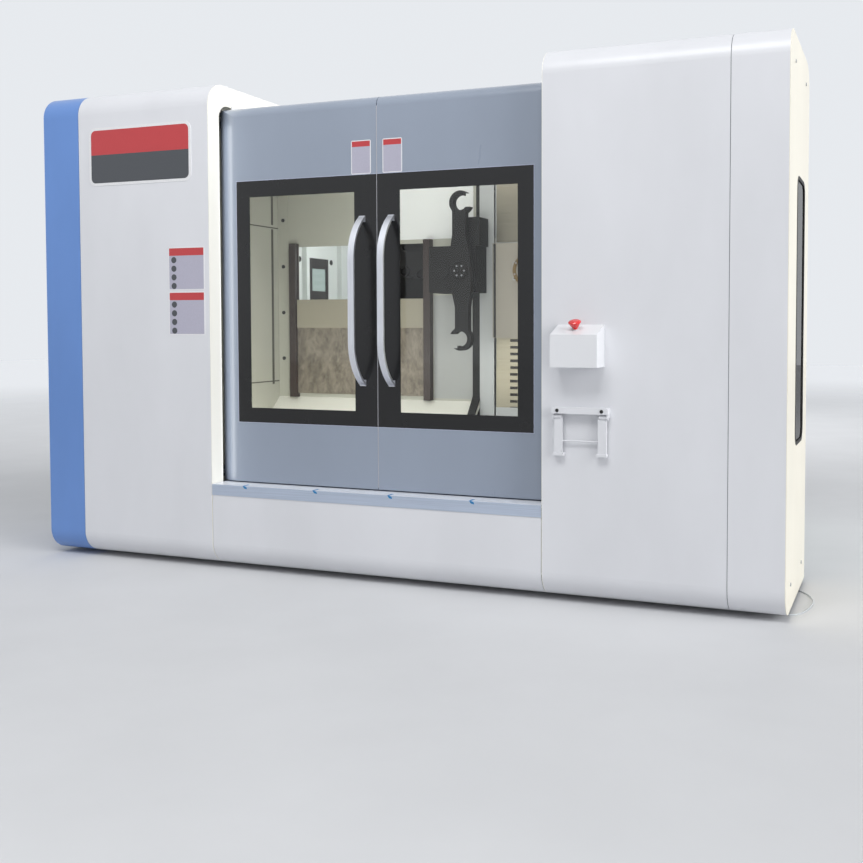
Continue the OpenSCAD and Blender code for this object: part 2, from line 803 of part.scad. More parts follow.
// Driven ball nut with its motor, on the back of the headstock slide
module head_nut_drive() {
    color(black_gloss) difference() {
        union() {
            block([screw_x - 24, fy(way_front - fit), nut_z],
                [screw_x + 130, fy(column_front - 2), nut_z + 60]);
            translate([screw_x + 88, fy(way_front + 44), nut_z + 59]) cylinder(h = 160, r = 42);
            translate([screw_x + 88, fy(way_front + 44), nut_z + 218]) cylinder(h = 30, r = 34);
        }
        translate([screw_x, fy(screw_y), nut_z - over]) cylinder(h = 62 + over, r = screw_r + run_fit);
    }
}

// Saddle that runs front to back on the bed, with box ways for the table
module saddle() {
    color(cast_grey) {
        block([spindle_x - saddle_half_x, fy(table_y - saddle_body_half), way_top],
            [spindle_x + saddle_half_x, fy(table_y + saddle_body_half), saddle_top]);
        block([spindle_x - 420, fy(table_y - saddle_lip_half), way_top + 12],
            [spindle_x + 420, fy(table_y + saddle_lip_half), way_top + 32]);
        for (side = [-1, 1])
            translate([spindle_x - saddle_half_x, fy(table_y + side * 100 - 40), saddle_top - over])
                cube([2 * saddle_half_x, 80, slide_way_top - saddle_top + over]);
    }
}

rotary_r = 290;
pivot_r = 80;

// Table slide with its wings and the rotary base
module table_slide() {
    color(cast_grey) difference() {
        union() {
            block([spindle_x - slide_half, fy(table_y - 300), slide_way_top],
                [spindle_x + slide_half, fy(table_y + 300), slide_top]);
            block([spindle_x - 530, fy(table_y - 300), slide_top - 20],
                [spindle_x + 530, fy(table_y + 300), slide_top - 8]);
            translate([spindle_x, fy(table_y), slide_top - over])
                cylinder(h = pallet_z - slide_top + over, r = rotary_r, $fn = 96);
        }
        translate([spindle_x, fy(table_y), slide_top + 20]) cylinder(h = pallet_z, r = pivot_r + run_fit);
    }
}

slot_w = 22;
slot_step = 100;
pallet_hole_r = 8;
pallet_hole_inset = 35;
pallet_hole_spacing = pallet_w - 2 * pallet_hole_inset;

// Square pallet with T-slots and corner bolt holes, on a centre pivot
module rotary_pallet() {
    top = pallet_z + pallet_t;
    color(steel) difference() {
        union() {
            translate([spindle_x - pallet_w / 2, fy(table_y) - pallet_w / 2, pallet_z])
                cube([pallet_w, pallet_w, pallet_t]);
            translate([spindle_x, fy(table_y), slide_top + 21])
                cylinder(h = pallet_z - slide_top - 20, r = pivot_r);
        }
        for (i = [-2:2]) {
            translate([spindle_x - pallet_w / 2 - over, fy(table_y) + i * slot_step - slot_w / 2, top - 38])
                cube([pallet_w + 2 * over, slot_w, 39]);
            translate([spindle_x - pallet_w / 2 - over, fy(table_y) + i * slot_step - 19, top - 38])
                cube([pallet_w + 2 * over, 38, 16]);
        }
        for (sx = [-1, 1], sy = [-1, 1])
            translate([spindle_x + sx * pallet_hole_spacing / 2, fy(table_y) + sy * pallet_hole_spacing / 2,
                pallet_z - over]) cylinder(h = pallet_t + 2 * over, r = pallet_hole_r);
    }
}

front_cover_y = table_y - 445;
front_cover_len = 200;
rear_cover_y = table_y + 270;
rear_cover_len = 275;

// Sliding steel plate over the bed ways, in front of the saddle
module saddle_cover_front() {
    color(steel) block([spindle_x - 396, fy(front_cover_y), way_top + fit],
        [spindle_x + 396, fy(front_cover_y + front_cover_len), way_top + 5]);
}

// Sliding steel plate over the bed ways, behind the saddle
module saddle_cover_rear() {
    color(steel) block([spindle_x - 396, fy(rear_cover_y), way_top + fit],
        [spindle_x + 396, fy(rear_cover_y + rear_cover_len), way_top + 5]);
}

cam_x0 = hub_x - 248;
cam_x1 = hub_x + 84;
cam_z0 = spindle_z - 136;
cam_z1 = spindle_z + 163;
cam_y = arm_y + 35;
quill_back = cam_y + arm_plunge + 53;

// Black cam box of the tool changer, with its motor unit on top
module atc_cam_box() {
    color([0.06, 0.06, 0.08]) difference() {
        union() {
            block([cam_x0, fy(cam_y), cam_z0], [cam_x1, fy(layer_0 - 4), cam_z1]);
            block([cam_x0, fy(layer_0 - 5), cam_z0], [panel_x0 - 58, fy(rear_wall_y), cam_z1]);
            block([hub_x - 80, fy(cam_y), cam_z1 - over], [hub_x + 106, fy(cam_y + 150), cam_z1 + 180]);
            bar_y(cam_x0 + 90, fy(cam_y - 5), fy(cam_y + 1), spindle_z + 12, 58);
        }
        bar_y(hub_x, fy(cam_y) - over, fy(quill_back + 2), spindle_z, quill_r + run_fit);
        for (x = [cam_x0 + 12, cam_x1 - 12], z = [cam_z0 + 12, cam_z1 - 12])
            bar_y(x, fy(cam_y) - over, fy(cam_y + 6), z, 6);
    }
}

// Sliding quill of the tool changer
module atc_quill() {
    color(steel) difference() {
        bar_y(hub_x, fy(cam_y - 8), fy(quill_back), spindle_z, quill_r);
        bar_y(hub_x, fy(cam_y - 8) - over, fy(quill_back - 28), spindle_z, arm_shaft_r + run_fit);
    }
}

// X-Z outline of one half of the double arm, from the hub to its claw
module arm_half() {
    difference() {
        union() {
            translate([-55, 0]) square([92, arm_reach - 20]);
            translate([0, arm_reach]) circle(claw_r);
            polygon([[-72, 0], [72, 0], [60, 130], [37, 230], [-55, 230], [-70, 130]]);
        }
        translate([0, arm_reach]) circle(grip_r);
        translate([0, arm_reach - 30]) square([claw_r + 10, 60]);
        translate([20, arm_reach - 10]) square([claw_r, 70]);
    }
}

// Double-ended tool changer arm with hub and shaft
module atc_arm() {
    color([0.06, 0.06, 0.08]) {
        translate([hub_x, fy(arm_y + arm_t / 2), spindle_z]) rotate([90, 0, 0]) {
            linear_extrude(arm_t) union() {
                arm_half();
                rotate(180) arm_half();
                circle(72);
            }
            translate([0, 0, arm_t - over]) cylinder(h = 16, r1 = 60, r2 = 46);
        }
        bar_y(hub_x, fy(arm_y + arm_t / 2 - 1), fy(quill_back - 30), spindle_z, arm_shaft_r);
    }
}

disc_y = rear_wall_y + 42;
disc_t = 16;
pot_r = 38;

// Magazine disc with its ring of tool pots and centre hub
module magazine_disc() {
    color(black_gloss) {
        difference() {
            bar_y(pot_x, fy(disc_y), fy(disc_y + disc_t), disc_z, pot_circle_r + 20);
            bar_y(pot_x, fy(disc_y) - over, fy(disc_y + disc_t) + over, disc_z, 25);
            for (i = [0:5])
                translate([pot_x, 0, disc_z]) rotate([0, 60 * i, 0])
                    bar_y(190, fy(disc_y) - over, fy(disc_y + disc_t) + over, 0, 70);
        }
        for (i = [0:pot_count - 1])
            translate([pot_x, 0, disc_z]) rotate([0, 90 + 360 * i / pot_count, 0]) difference() {
                bar_y(pot_circle_r, fy(disc_y - 22), fy(disc_y + 90), 0, pot_r);
                bar_y(pot_circle_r, fy(disc_y - 22) - over, fy(disc_y + 60), 0, 26);
            }
    }
}

plate_y = disc_y + 208;
plate_t = 12;

// Black plate behind the magazine, with the shaft that the disc turns on
module magazine_plate() {
    color([0.06, 0.06, 0.08]) {
        block([pot_x - 393, fy(plate_y), shutter_top - 40],
            [pot_x + 453, fy(plate_y + plate_t), guard_top - sheet]);
        bar_y(pot_x, fy(disc_y - 10), fy(plate_y + 1), disc_z, 25 - run_fit);
        block([pot_x - 200, fy(plate_y + plate_t), disc_z - 120],
            [pot_x + 200, fy(plate_y + plate_t + 148), disc_z + 120]);
        for (side = [-1, 1])
            block([pot_x + side * 300 - 30, fy(plate_y + plate_t - over), 62],
                [pot_x + side * 300 + 30, fy(plate_y + plate_t + 59), disc_z]);
        block([pot_x - 330, fy(plate_y - 20), 0], [pot_x + 330, fy(plate_y + 100), 62 + over]);
    }
}

// Solid form of a leaf: a round top edge and a wide roll along its outer edge
module leaf_form(inset) {
    r = door_r - inset;
    roll = door_edge_r - inset;
    back = door_t + (inset > 0 ? over : 0);
    intersection() {
        along_x(door_w) intersection() {
            union() {
                translate([inset, inset]) square([back - inset, door_h - 2 * inset - r]);
                translate([inset + r, inset]) square([back - inset - r, door_h - 2 * inset]);
                translate([inset + r, door_h - inset - r]) circle(r);
            }
            square([back, door_h]);
        }
        linear_extrude(door_h) intersection() {
            union() {
                translate([edge_run, inset]) square([door_w - edge_run - inset, back - inset]);
                translate([edge_run, inset + roll]) circle(roll, $fn = 128);
            }
            square([door_w, back]);
        }
    }
}

carriage_len = 90;
carriage_xs = [carriage_x, door_w - 80 - carriage_len];

// One leaf as a hollow pressing with its window hole and rail carriages
module leaf() {
    window_x0 = door_w - window_w + (door_gap / 2 - 2);
    difference() {
        leaf_form(0);
        leaf_form(sheet);
        block([window_x0 + border_side - 14, -over, window_z0 - door_z0 + border_bottom - 14],
            [window_x0 + window_w - border_handle + 14, sheet + over, window_z1 - door_z0 - border_top + 14]);
    }
    for (x = carriage_xs, z = rail_zs)
        translate([x, door_t - sheet, z - door_z0]) difference() {
            translate([0, 0, -20]) cube([carriage_len, 24, rail_size + 40]);
            translate([-over, 15 - fit, -fit]) cube([carriage_len + 2 * over, 30, rail_size + 2 * fit]);
        }
    for (x = carriage_xs, z = rail_zs)
        translate([x, sheet - 0.5, z - door_z0 - 20]) cube([carriage_len, door_t - sheet, 6]);
}

// Places a leaf; the right one is the mirror of the left one
module place_leaf(right) {
    if (right)
        translate([door_split + door_gap / 2 + door_w, fy(door_face), door_z0]) mirror([1, 0, 0]) children();
    else
        translate([door_split - door_gap / 2 - door_w, fy(door_face), door_z0]) children();
}

// Printed black border of a window, on the face of its leaf
module window_border() {
    x0 = door_w - window_w;
    z0 = window_z0 - door_z0;
    translate([x0, -border_t, z0]) difference() {
        cube([window_w, border_t, window_h]);
        translate([border_side, -over, border_bottom])
            cube([window_w - border_side - border_handle, border_t + 2 * over,
                window_h - border_bottom - border_top]);
    }
}

// Laminated pane behind the border, bonded into the leaf
module window_glass() {
    x0 = door_w - window_w + border_side - 13;
    z0 = window_z0 - door_z0 + border_bottom - 13;
    w = window_w - border_side - border_handle + 26;
    h = window_h - border_bottom - border_top + 26;
    translate([x0, 0, z0]) cube([w, pane_t, h]);
}

handle_curve_h = 240;
handle_arc_r = (handle_bow * handle_bow + handle_curve_h * handle_curve_h) / (2 * handle_bow);
handle_straight = handle_len / 2 - handle_curve_h;

// Y-Z outline of the bow under a handle, drawn inwards by an inset
module bow_shape(inset = 0) {
    r = handle_arc_r - inset;
    translate([inset - handle_bow, -handle_straight]) square([2 * r, 2 * handle_straight]);
    for (side = [-1, 1])
        translate([handle_arc_r - handle_bow, side * handle_straight]) circle(r, $fn = 128);
}

// Bowed flat bar handle with a foot at each end, which meets the border
module door_handle() {
    translate([door_w - 85 - handle_w / 2, -border_t, window_z0 - door_z0 + window_h / 2]) along_x(handle_w) {
        intersection() {
            difference() {
                bow_shape();
                bow_shape(handle_t);
            }
            translate([-handle_bow - over, -handle_len]) square([handle_bow + over, 2 * handle_len]);
        }
        for (side = [-1, 1])
            translate([-8, side * (handle_len / 2 - 18) - 16]) square([8, 32]);
    }
}

module left_door_panel() {
    color(door_paint) place_leaf(false) leaf();
}

module left_window_border() {
    color(black_gloss) place_leaf(false) window_border();
}

module left_window_glass() {
    color(clear_pane) place_leaf(false) window_glass();
}

module left_door_handle() {
    color(steel) place_leaf(false) door_handle();
}

module right_door_panel() {
    color(door_paint) place_leaf(true) leaf();
}

module right_window_border() {
    color(black_gloss) place_leaf(true) window_border();
}

module right_window_glass() {
    color(clear_pane) place_leaf(true) window_glass();
}

module right_door_handle() {
    color(steel) place_leaf(true) door_handle();
}

stop_x0 = bay_x1 + 86;
stop_z0 = sill_z + stop_rise;
stop_angle = atan(stop_box_rise / stop_box_d);
button_x = stop_x0 + 108;
button_y = -stop_box_d / 2;
button_z = stop_z0 + stop_box_h + stop_box_rise / 2;
stem_r = 10;
ring_h = 4;

// Y-Z outline of the stop box, drawn inwards by an inset
module stop_box_shape(inset = 0) {
    slope = tan(stop_angle);
    polygon([[over, inset], [inset - stop_box_d, inset], [inset - stop_box_d, stop_box_h - inset],
        [over, stop_box_h - inset + (stop_box_d - inset) * slope]]);
}

// Sheet box with a slanted top for the emergency stop, open towards the cover
module stop_box() {
    color(white_paint) difference() {
        union() {
            difference() {
                translate([stop_x0, fy(0), stop_z0]) along_x(stop_box_w) stop_box_shape();
                translate([stop_x0 + sheet, fy(0), stop_z0])
                    along_x(stop_box_w - 2 * sheet) stop_box_shape(sheet);
                block([stop_x0 - over, fy(0), stop_z0 - over],
                    [stop_x0 + stop_box_w + over, fy(10), stop_z0 + 2 * stop_box_h]);
            }
            place_button() translate([0, 0, -20]) cylinder(h = 20 + ring_h, r = stem_r + 8);
        }
        place_button() translate([0, 0, -30]) cylinder(h = 40, r = stem_r + run_fit);
    }
}

// The button's axis, square to the slanted top
module place_button() {
    translate([button_x, fy(button_y), button_z]) rotate([stop_angle, 0, 0]) children();
}

// Red mushroom button on its stem
module stop_button() {
    lift = ring_h + button_travel + 1;
    color([0.85, 0.10, 0.10]) place_button() rotate_extrude() polygon([[0, -22], [stem_r, -22], [stem_r, lift],
        [stem_r + 4, lift], [button_r, lift + 26], [button_r, lift + 30], [button_r - 5, lift + 34],
        [button_r - 14, lift + 37], [0, lift + 38]]);
}

bracket_x0 = bay_x1 + 65;
bracket_z0 = sill_z + 462;
bracket_bar_h = 30;
bracket_bar_d = 44;
arm_w = 42;
pin_z = bracket_z0 - 16;
pin_y = 24;
pin_r = 7;

// Fixed bar of the folding bracket, with ears that hold the hinge pins
module bracket_bar() {
    color(white_paint) {
        block([bracket_x0, fy(-bracket_bar_d), bracket_z0],
            [bracket_x0 + bracket_w, fy(0), bracket_z0 + bracket_bar_h]);
        for (x = [bracket_x0 + 2, bracket_x0 + bracket_w - 10])
            difference() {
                union() {
                    block([x, fy(-pin_y), pin_z], [x + 8, fy(0), bracket_z0 + 1]);
                    block([x, fy(-pin_y - 12), pin_z], [x + 8, fy(-pin_y + 1), bracket_z0 + 1]);
                    translate([x, fy(-pin_y), pin_z]) rotate([0, 90, 0]) cylinder(h = 8, r = 12);
                }
                translate([x - over, fy(-pin_y), pin_z])
                    rotate([0, 90, 0]) cylinder(h = 10, r = pin_r + run_fit);
            }
    }
}

// Hanging frame of the bracket: two arms, a cross rod, feet and hinge pins
module bracket_frame() {
    x_in = bracket_x0 + 11;
    foot_z = bracket_z0 - bracket_drop;
    color(white_paint) {
        for (m = [0, 1])
            translate([bracket_x0 + bracket_w / 2, 0, 0]) mirror([m, 0, 0])
                translate([-bracket_w / 2 + 11, fy(-pin_y), pin_z]) {
                    block([0, -4, foot_z - pin_z], [arm_w, 0, 0]);
                    block([0, -4, foot_z - pin_z], [4, 14, 0]);
                    rotate([0, 90, 0]) cylinder(h = arm_w - 8, r = 11);
                    translate([-10, 0, 0]) rotate([0, 90, 0]) cylinder(h = 12, r = pin_r);
                    block([-4, -12, foot_z - pin_z], [arm_w + 6, 16, foot_z - pin_z + 14]);
                }
        translate([x_in + 2, fy(-pin_y) + 6, bracket_z0 - 134]) rotate([0, 90, 0])
            cylinder(h = bracket_w - 26, r = 4);
    }
}

guard_window_y0 = 2005;
guard_window_y1 = 2295;
guard_window_z0 = 1180;
guard_window_z1 = 1860;

// Tall guard around the column and the magazine, with a side service window
module rear_guard() {
    y0 = guard_y0;
    z0 = cover_z0 + sheet + rib_size;
    color(white_paint) {
        difference() {
            block([guard_x0, fy(y0), z0], [guard_x1, fy(guard_d), guard_top]);
            block([guard_x0 + sheet, fy(y0) - over, -over],
                [guard_x1 - sheet, fy(guard_d - sheet), guard_top - sheet]);
            block([guard_x0 - over, fy(guard_window_y0), guard_window_z0],
                [guard_x0 + sheet + over, fy(guard_window_y1), guard_window_z1]);
            for (i = [0:11])
                block([guard_x0 + 250, fy(guard_d - sheet) - over, 1500 + i * 60],
                    [guard_x0 + 750, fy(guard_d) + over, 1530 + i * 60]);
        }
        for (y = [1900, 2400])
            block([guard_x0 + sheet, fy(y - 20), z0],
                [guard_x0 + sheet + rib_size, fy(y + 20), guard_top - sheet]);
        for (x = [guard_x0 + sheet, guard_x1 - sheet - rib_size])
            for (y = [housing_d + 10, guard_d - sheet - rib_size])
                block([x, fy(y), 0], [x + rib_size, fy(y + rib_size), guard_top - sheet]);
    }
}

cabinet_x0 = guard_x1 - cabinet_w - 300;
cabinet_z0 = 60;
cabinet_wall = 4;
cabinet_door_t = 30;
hinge_r = 9;
door_stand = hinge_r + 5;
cabinet_back = body_d - cabinet_door_t - 1 - door_stand;
hinge_pin_r = 4;
hinge_zs = [200, cabinet_h - 300];

// Electrical cabinet on the back of the guard, open at its rear
module cabinet_body() {
    y1 = cabinet_back;
    x1 = cabinet_x0 + cabinet_w;
    z1 = cabinet_z0 + cabinet_h;
    color([0.80, 0.81, 0.80]) {
        difference() {
            block([cabinet_x0, fy(guard_d), cabinet_z0], [x1, fy(y1), z1]);
            block([cabinet_x0 + cabinet_wall, fy(guard_d + cabinet_wall), cabinet_z0 + cabinet_wall],
                [x1 - cabinet_wall, fy(y1) + over, z1 - cabinet_wall]);
            for (x = [cabinet_x0 - over, x1 - 20], z = hinge_zs)
                block([x, fy(y1 - hinge_r - 2), cabinet_z0 + z + 45],
                    [x + 20 + over, fy(y1) + over, cabinet_z0 + z + 104]);
        }
        block([cabinet_x0 + 100, fy(guard_d + cabinet_wall - 1), cabinet_z0 + 150],
            [x1 - 100, fy(guard_d + 40), z1 - 150]);
        for (x = [cabinet_x0 + 40, x1 - 120], y = [guard_d + 40, y1 - 120])
            block([x, fy(y), 0], [x + 80, fy(y + 80), cabinet_z0 + 1]);
        for (i = [0:2])
            block([cabinet_x0 + 160, fy(guard_d + 39), cabinet_z0 + 350 + i * 520],
                [x1 - 160, fy(guard_d + 160), cabinet_z0 + 600 + i * 520]);
        for (x = [cabinet_x0 + hinge_r, x1 - hinge_r], z = hinge_zs)
            translate([x, fy(y1), cabinet_z0 + z]) {
                cylinder(h = 50, r = hinge_r);
                cylinder(h = 98, r = hinge_pin_r);
            }
    }
}

// One cabinet door; its hinge barrels sit above the body's
module cabinet_door(mirrored) {
    half = cabinet_w / 2;
    z1 = cabinet_h;
    y_out = door_stand + 1 + cabinet_door_t;
    translate([cabinet_x0 + half, fy(cabinet_back), cabinet_z0]) mirror([mirrored ? 1 : 0, 0, 0]) difference() {
        union() {
            difference() {
                block([-half, door_stand, 0], [-2, y_out, z1]);
                block([-half + sheet, door_stand - over, sheet], [-2 - sheet, y_out - sheet, z1 - sheet]);
            }
            for (z = hinge_zs)
                translate([hinge_r - half, 0, z + 50.5]) {
                    cylinder(h = 50, r = hinge_r);
                    translate([-4, 0, 0]) cube([8, y_out - 2, 50]);
                }
        }
        for (z = hinge_zs)
            translate([hinge_r - half, 0, z + 50]) cylinder(h = 52, r = hinge_pin_r + run_fit);
        for (i = [0:5])
            block([-half + 200, door_stand, 200 + i * 40], [-200, y_out + over, 215 + i * 40]);
    }
}

module cabinet_door_left() {
    color([0.80, 0.81, 0.80]) cabinet_door(false);
}

module cabinet_door_right() {
    color([0.80, 0.81, 0.80]) cabinet_door(true);
}

// Coolant tank with its pump, beside the cabinet
module coolant_tank() {
    x0 = guard_x0;
    x1 = cabinet_x0 - 70;
    color([0.62, 0.66, 0.70]) {
        difference() {
            block([x0, fy(guard_d), 40], [x1, fy(body_d - 30), 420]);
            block([x0 + 4, fy(guard_d + 4), 44], [x1 - 4, fy(body_d - 34), 421]);
        }
        block([x0 + 100, fy(guard_d), 416], [x1, fy(body_d - 30), 420]);
        translate([x1 - 180, fy(guard_d + 200), 420]) {
            cylinder(h = 12, r = 110);
            cylinder(h = 260, r = 80);
            translate([0, 0, 260]) cylinder(h = 70, r = 70);
        }
        for (x = [x0 + 20, x1 - 100], y = [guard_d + 20, body_d - 130])
            block([x, fy(y), 0], [x + 80, fy(y + 80), 41]);
    }
}

// Route of the clear drain hose on the floor, past the right front corner
hose_r = 3;
hose_end_z = cover_z0 + sheet + 20;
hose_top = hose_end_z - 1;
hose_sockets = [[2092, 706], [2080, 214]];
hose_route = [[2092, 706, hose_top], [2094, 705, 32], [2104, 701, 16], [2122, 692, 7], [2150, 672, hose_r],
    [2180, 642, hose_r], [2204, 602, hose_r], [2224, 550, hose_r], [2235, 500, hose_r], [2238, 450, hose_r],
    [2236, 400, hose_r], [2229, 350, hose_r], [2218, 300, hose_r], [2202, 256, hose_r], [2180, 222, hose_r],
    [2152, 204, hose_r], [2122, 202, 7], [2096, 208, 16], [2083, 213, 32], [2080, 214, hose_top]];

// One ring of the hose, square to its path
function ring_at(i) = let (
        n = len(hose_route),
        a = hose_route[max(i - 1, 0)],
        b = hose_route[min(i + 1, n - 1)],
        d = (b - a) / norm(b - a),
        s = cross(d, [0.2, 0.1, 1]) / norm(cross(d, [0.2, 0.1, 1])),
        u = cross(s, d))
    [for (k = [0:7]) hose_route[i] + hose_r * (cos(45 * k) * s + sin(45 * k) * u)];

// Thin clear hose that loops past the covers' corner
module drain_hose() {
    n = len(hose_route);
    points = [for (i = [0:n - 1]) each ring_at(i)];
    walls = [for (i = [0:n - 2], k = [0:7])
        [8 * i + k, 8 * i + (k + 1) % 8, 8 * (i + 1) + (k + 1) % 8, 8 * (i + 1) + k]];
    caps = [[for (k = [7:-1:0]) k], [for (k = [0:7]) 8 * (n - 1) + k]];
    color([0.85, 0.87, 0.88]) translate([0, fy(0), 0]) polyhedron(points, concat(walls, caps));
}

levelling_feet();
bed_casting();
enclosure_frame();
end_cover_left();
front_cover_left();
inner_walls();
door_apron();
door_sill();
door_rails();
front_cover_right();
corner_cover_right();
side_panel_right();
side_window();
housing_backs();
work_roof();
splash_walls();
rear_splash_wall();
chip_chute();
shutter_posts();
shutter_panel();
shutter_rail();
column_casting();
column_panels();
column_curtain();
headstock();
spindle();
head_cover_upper_a();
head_cover_upper_b();
head_cover_lower_a();
head_cover_lower_b();
head_ball_screw();
head_nut_drive();
saddle();
table_slide();
rotary_pallet();
saddle_cover_front();
saddle_cover_rear();
atc_cam_box();
atc_quill();
atc_arm();
magazine_disc();
magazine_plate();
left_door_panel();
left_window_border();
left_window_glass();
left_door_handle();
right_door_panel();
right_window_border();
right_window_glass();
right_door_handle();
stop_box();
stop_button();
bracket_bar();
bracket_frame();
rear_guard();
cabinet_body();
cabinet_door_left();
cabinet_door_right();
coolant_tank();
drain_hose();
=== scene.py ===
import math

import bmesh
import bpy
from mathutils import Matrix, Vector


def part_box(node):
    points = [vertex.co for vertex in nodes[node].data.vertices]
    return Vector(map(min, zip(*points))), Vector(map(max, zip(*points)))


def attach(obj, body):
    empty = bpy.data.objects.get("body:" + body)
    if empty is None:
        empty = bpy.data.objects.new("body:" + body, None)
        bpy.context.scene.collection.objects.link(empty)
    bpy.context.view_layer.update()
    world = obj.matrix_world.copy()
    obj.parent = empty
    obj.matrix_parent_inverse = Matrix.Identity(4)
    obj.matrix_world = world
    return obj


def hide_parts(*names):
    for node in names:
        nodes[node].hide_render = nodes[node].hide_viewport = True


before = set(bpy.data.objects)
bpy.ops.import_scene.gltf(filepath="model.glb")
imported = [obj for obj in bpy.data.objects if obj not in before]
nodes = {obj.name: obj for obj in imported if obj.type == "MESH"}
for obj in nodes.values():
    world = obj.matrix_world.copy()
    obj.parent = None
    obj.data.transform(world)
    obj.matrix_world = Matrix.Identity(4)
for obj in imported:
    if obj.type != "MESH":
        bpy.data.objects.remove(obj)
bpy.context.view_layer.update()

# Places read from the frame
cover_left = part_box("front_cover_left")
side_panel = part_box("side_panel_right")
side_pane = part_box("side_window")
door_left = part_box("left_door_panel")
border_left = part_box("left_window_border")
border_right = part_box("right_window_border")
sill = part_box("door_sill")
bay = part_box("inner_walls")
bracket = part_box("bracket_bar")
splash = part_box("splash_walls")
rear_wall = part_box("rear_splash_wall")
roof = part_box("work_roof")
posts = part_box("shutter_posts")
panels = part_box("column_panels")
lower_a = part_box("head_cover_lower_a")
lower_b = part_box("head_cover_lower_b")
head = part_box("headstock")
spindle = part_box("spindle")
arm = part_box("atc_arm")
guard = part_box("rear_guard")

mm = 0.001
cover_front = cover_left[0].y
door_face = door_left[0].y
rear_face = rear_wall[0].y


# Helpers for colours and shader nodes

def tone(red, green, blue):
    """A colour given as screen values from 0 to 255, turned into linear light."""
    def linear(value):
        share = value / 255
        return share / 12.92 if share <= 0.04045 else ((share + 0.055) / 1.055) ** 2.4
    return (linear(red), linear(green), linear(blue), 1.0)


def shade(colour, share):
    """The same colour, darker for a share under 1 and lighter for one over 1."""
    return (colour[0] * share, colour[1] * share, colour[2] * share, 1.0)


def surface_of(material):
    return material.node_tree.nodes["Principled BSDF"]


def start_material(name):
    material = bpy.data.materials.new(name)
    material.use_nodes = True
    return material, surface_of(material)


def add_pattern(material, kind, stretch, **settings):
    """A texture on Object coordinates, stretched along the axes; returns its factor socket."""
    tree = material.node_tree
    place = tree.nodes.new("ShaderNodeTexCoord")
    mapping = tree.nodes.new("ShaderNodeMapping")
    mapping.inputs["Scale"].default_value = stretch
    texture = tree.nodes.new(kind)
    for socket, value in settings.items():
        texture.inputs[socket].default_value = value
    tree.links.new(place.outputs["Object"], mapping.inputs["Vector"])
    tree.links.new(mapping.outputs["Vector"], texture.inputs["Vector"])
    return texture.outputs[0]


def add_noise(material, scale, detail, roughness, stretch=(1, 1, 1)):
    """Noise on Object coordinates; returns its factor socket."""
    return add_pattern(material, "ShaderNodeTexNoise", stretch,
                       Scale=scale, Detail=detail, Roughness=roughness)


def mapped(tree, value, **ends):
    """Maps a value onto the ends given, such as To_Max; returns the result's socket."""
    node = tree.nodes.new("ShaderNodeMapRange")
    for socket, end in ends.items():
        node.inputs[socket.replace("_", " ")].default_value = end
    tree.links.new(value, node.inputs["Value"])
    return node.outputs["Result"]


def combined(tree, operation, first, second):
    """Joins two sockets by an operation such as MULTIPLY; returns the result's socket."""
    node = tree.nodes.new("ShaderNodeMath")
    node.operation = operation
    tree.links.new(first, node.inputs[0])
    tree.links.new(second, node.inputs[1])
    return node.outputs[0]


def vary_roughness(material, factor, low, high):
    """Lets the roughness go from low to high with a factor from 0 to 1."""
    roughness = mapped(material.node_tree, factor, To_Min=low, To_Max=high)
    material.node_tree.links.new(roughness, surface_of(material).inputs["Roughness"])


def mix_colours(material, factor, dark, light, begin=0.3, end=0.7):
    """Colours a surface from dark to light as the factor goes from begin to end."""
    ramp = material.node_tree.nodes.new("ShaderNodeValToRGB")
    ramp.color_ramp.elements[0].position = begin
    ramp.color_ramp.elements[0].color = dark
    ramp.color_ramp.elements[1].position = end
    ramp.color_ramp.elements[1].color = light
    material.node_tree.links.new(factor, ramp.inputs["Fac"])
    material.node_tree.links.new(ramp.outputs["Color"], surface_of(material).inputs["Base Color"])


def add_bump(material, factor, depth, strength=1.0):
    bump = material.node_tree.nodes.new("ShaderNodeBump")
    bump.inputs["Distance"].default_value = depth
    bump.inputs["Strength"].default_value = strength
    material.node_tree.links.new(factor, bump.inputs["Height"])
    material.node_tree.links.new(bump.outputs["Normal"], surface_of(material).inputs["Normal"])


def add_clear_coat(surface, weight, roughness):
    surface.inputs["Coat Weight"].default_value = weight
    surface.inputs["Coat Roughness"].default_value = roughness


# Finishes

def powder_coat(name, colour, roughness=0.38, peel=0.25 * mm, streak=0.04, coat=0.12):
    """Sprayed sheet metal: faint orange peel, slow changes of tone, uneven gloss."""
    material, surface = start_material(name)
    add_bump(material, add_noise(material, scale=260.0, detail=2.0, roughness=0.5), peel, 0.35)
    cloud = add_noise(material, scale=1.1, detail=4.0, roughness=0.55, stretch=(1.2, 1.2, 0.5))
    mix_colours(material, cloud, shade(colour, 1 - streak), shade(colour, 1 + streak), 0.35, 0.65)
    wipe = add_noise(material, scale=1.6, detail=5.0, roughness=0.6, stretch=(6, 6, 1))
    vary_roughness(material, wipe, roughness - 0.07, roughness + 0.07)
    add_clear_coat(surface, coat, 0.12)
    return material


def brushed_metal(name, colour, grain, roughness=0.3, depth=0.05 * mm):
    """Ground or brushed metal with fine lines along one axis."""
    material, surface = start_material(name)
    surface.inputs["Metallic"].default_value = 1.0
    lines = add_noise(material, scale=1.0, detail=4.0, roughness=0.65, stretch=grain)
    mix_colours(material, lines, shade(colour, 0.86), shade(colour, 1.08))
    smear = add_noise(material, scale=5.0, detail=4.0, roughness=0.6)
    vary_roughness(material, smear, roughness - 0.08, roughness + 0.1)
    add_bump(material, lines, depth, 0.5)
    return material


